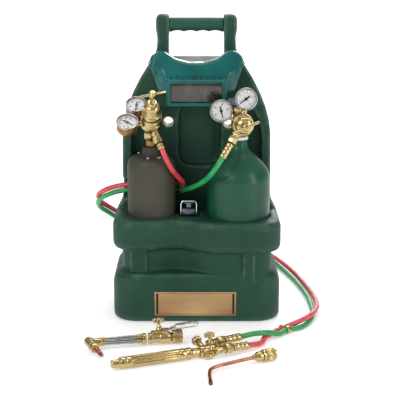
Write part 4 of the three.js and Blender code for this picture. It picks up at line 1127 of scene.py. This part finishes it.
pad = bmesh.new()
bmesh.ops.create_circle(pad, cap_ends=True, segments=48, radius=7.9)
for v in pad.verts:
    v.co.x += 17 if v.co.x > 0 else -17
raised = bmesh.ops.extrude_face_region(pad, geom=pad.faces[:])
moveNew(pad, raised, 0, 0, 2.3)
bmesh.ops.recalc_face_normals(pad, faces=pad.faces)
softenEdges(pad, 0.8, 3, 50)
slope = shift(-8, 0, 20.2) @ turnBy(-6, "Y") @ turnBy(24, "X") @ shift(15, 0, 0)
build("cuttingLever", [
    (placed(pad, cutPlace @ slope), "steel"),
    (placed(block(20, 3.4, 5, (-32, 0, 16.8), 0.9), cutPlace), "steel"),
    (placed(block(11, 3.4, 5.2, (-20, 0, 19.4), 0.9), cutPlace), "steel"),
], ["cutting_lever"])


def gripNut(bore, length, radius, place):
    # A round nut with a knurled band between two plain edges
    knurl = lobed(radius, 0.9, 28, length * 0.62, 0.2, 0.8)
    edges = lathe([(bore, 0), (radius - 1.2, 0), (radius - 0.3, 1), (radius - 0.3, length * 0.17),
                   (radius - 1.6, length * 0.2), (radius - 1.6, length * 0.8),
                   (radius - 0.3, length * 0.83),
                   (radius - 0.3, length - 1), (radius - 1.2, length), (bore, length)], 56, 0.25, True)
    return [(placed(knurl, place @ shift(0, 0, length * 0.19)), "brass"), (placed(edges, place), "brass")]


build("couplingNut", gripNut(8.3, 20, 14, cutPlace @ shift(-22, 0, 0) @ alongX),
      ["cutting_coupling_nut"])

# Welding nozzle

nozzlePlace = group(152, -316, 12.2, 206.5)
route = [(44, 0, 0), (80, 0, -1), (128, 0, -3.5), (142, 4, -5), (151, 16, -6.5), (160, 36, -7.8),
         (168, 54, -8.2)]
wire("nozzleTube", [nozzlePlace @ p for p in throughPoints(route, 3)], 3.5, "copper", ["nozzle_tube"])
mixer = lathe([
    (0, 1), (6.8, 1), (7.6, 1.8), (7.6, 30), (9.3, 31), (9.5, 32), (9.5, 39.4), (8.6, 41.6), (6, 45.6),
    (5, 49.6),
    (3.6, 50.6), (0, 50.6),
], 48, 0.3)
build("nozzleMixer", [(placed(mixer, nozzlePlace @ alongX), "brass")], ["nozzle_tube"])
end = Vector(route[-1]) - Vector(route[-2])
cone = lathe([(1.2, 0), (3.9, 0), (3.9, 6), (3.3, 8.6), (1.2, 8.6)], 32, 0.2, True)
build("nozzleEnd", [(placed(cone, nozzlePlace @ aim(Vector(route[-1]) - end.normalized() * 7, end)),
                     "burntCopper")],
      ["nozzle_tube"])
build("nozzleNut", gripNut(7.9, 28, 12, nozzlePlace @ shift(2, 0, 0) @ alongX), ["nozzle_nut"])
print("torch, cutting attachment and nozzle made")

# Goggles: soft vinyl shell, vent holes, lens in its holder, elastic strap

goggles = {"cell": 0.0015, "rounds": 7, "topBack": 0.017, "cheekBack": 0.02, "backEdge": 0.01,
           "vents": (-53.6, -39.5, -26, -12.8, 8.4, 22, 35.7, 50.4), "ventHeight": 507.5}
shell = moulded("goggleShell", "goggle_frame", goggles["cell"], goggles["rounds"], "vinyl")
for v in shell.data.vertices:
    x, y, z = v.co
    # The face leans back above the lens holder, and the cheeks sweep back beside it
    lean = goggles["topBack"] * smoothStep((z - 0.502) / 0.055)
    lean += goggles["cheekBack"] * smoothStep((abs(x) - 0.0635) / 0.024) * smoothStep((0.53 - z) / 0.03)
    v.co.y = y + lean * min(1, max(0, (goggles["backEdge"] - y) / 0.048))
for x in goggles["vents"]:
    cutter = bmesh.new()
    bmesh.ops.create_cone(cutter, cap_ends=True, segments=20, radius1=0.0015, radius2=0.0015, depth=0.03)
    cutter.transform(shift(x * mm, -0.036, goggles["ventHeight"] * mm) @ turnBy(90, "X"))
    mesh = bpy.data.meshes.new("vent")
    cutter.to_mesh(mesh)
    hole = shell.modifiers.new("hole", "BOOLEAN")
    hole.object = addObject("vent", mesh)
    hole.solver = "FAST"
baked(shell)
for tool in [o for o in scene.objects if o.name.startswith("vent")]:
    bpy.data.objects.remove(tool)
shell.data.materials.clear()
shell.data.materials.append(finishes["vinyl"].material)
shell.data.shade_smooth()
settle(shell, ["goggle_frame"])
valve = lathe([(2.2, 0), (3.6, 0), (3.6, 1.2), (3, 2), (2.6, 2), (2.2, 1.4)], 32, 0.2, True)
disc = lathe([(0, 0.2), (2.3, 0.2), (2.3, 0.8), (0, 1.1)], 24, 0.1)
where = aim((-4, -37.5, goggles["ventHeight"] + 1), (0, -1, 0.2))
# A black sheet inside the shell behind the vent holes: painted shade, so the holes look dark
ventShadeSheet = block(118, 1, 10, (-2, -30.5, goggles["ventHeight"] + 0.5), 0.3)
build("goggleVents", [(placed(valve, where), "vinyl"), (placed(disc, where), "black"),
                      (ventShadeSheet, "black")], (), "goggles")
build("goggleLens", [(block(111, 3, 50, (0, -41, 478), 0.6), "lens")], ["goggle_lens"])

strap = {"side": 102, "front": 4.5, "back": 82, "bend": 12, "low": 530.5, "high": 547.5, "tuck": 7.5,
         "sag": 8,
         "lean": 2.4, "droop": 6, "wall": 1.4}
side, far, bend = strap["side"], strap["back"], strap["bend"]
route = [(-side, strap["front"] + 10 * i, 0) for i in range(7)]
route += [(-side + bend - bend * cos(t), far - bend + bend * sin(t),
           0) for t in (radians(15 * i) for i in range(7))]
route += [(-side + bend + 2 * (side - bend) * i / 16, far, 0) for i in range(1, 16)]
route += [(-x, y, 0) for x, y, z in reversed(route[:13])]
band = bmesh.new()
low = [band.verts.new((x, y, strap["low"])) for x, y, z in route]
edges = [band.edges.new(pair) for pair in zip(low, low[1:])]
for i in range(4):
    made = bmesh.ops.extrude_edge_only(band, edges=edges)
    edges = [e for e in made["geom"] if isinstance(e, bmesh.types.BMEdge)]
    moveNew(band, made, 0, 0, (strap["high"] - strap["low"]) / 4)
for v in band.verts:
    # The sides lean in with the posts, and the back hangs a little
    up = (v.co.z - strap["low"]) / (strap["high"] - strap["low"])
    v.co.x *= 1 - (strap["lean"] + strap["tuck"] * up) / side
    v.co.z -= (strap["sag"] + strap["droop"] * (1 - up)) * smoothStep((v.co.y - 40) / 42)
bmesh.ops.recalc_face_normals(band, faces=band.faces)
bmesh.ops.solidify(band, geom=band.faces[:], thickness=strap["wall"])
softenEdges(band, 0.4, 2, 60)
buckles = [(placed(block(3, 8, 21, (0, 0, 0), 1.2), turnBy(-s * 24, "Y"),
                   shift(s * 96.5, 16, 539)), "black") for s in (-1, 1)]
build("goggleStrap", [(band, "elastic"), *buckles], ["goggle_strap"])
print("goggles made:", len(shell.data.polygons), "faces")

# Flint striker

striker = {"x": -16.5, "y": -47, "top": 247, "bottom": 172, "half": 16.5, "corner": 7}
x, y, half, top, corner = (striker[key] for key in ("x", "y", "half", "top", "corner"))
route = [(x - half, y, striker["bottom"] + 8 * i) for i in range(8)]
route += [(x - half + corner - corner * cos(t), y,
           top - corner + corner * sin(t)) for t in (radians(11.25 * i) for i in range(9))]
route += [(x + (i - 3) * 3, y, top) for i in range(7)]
route += [(2 * x - px, py, pz) for px, py, pz in reversed(route[:17])]
wire("strikerWire", route, 1.5, "chrome", ["striker_frame"])

cup = block(29.6, 17, 20, (x, y + 7, 221), 4, 4)
opened = [f for f in cup.faces if f.normal.z > 0.99]
bmesh.ops.inset_region(cup, faces=opened, thickness=1.0)
sunk = bmesh.ops.extrude_face_region(cup, geom=opened)
bmesh.ops.delete(cup, geom=opened, context="FACES")
moveNew(cup, sunk, 0, 0, -15)
bmesh.ops.recalc_face_normals(cup, faces=cup.faces)
rim = lathe([(0, 0), (6, 0), (6, 1.2), (0, 1.2)], 32, 0.2)
build("strikerCup", [(cup, "blueSteel"), (placed(rim, aim((x, y - 1.6, 219), (0, -1, 0))), "blueSteel")],
      ["striker_cup"])
build("strikerArm", [
    (block(10, 1.4, 22, (x, y + 7, top - 14), 0.5), "blueSteel"),
    (block(6, 4, 6, (x, y + 7, top - 25), 0.9), "black"),
    (block(22, 6, 2.8, (x, y + 4.8, top - 4.5), 0.9), "blueSteel"),
], ["striker_arm"])
print("striker made")
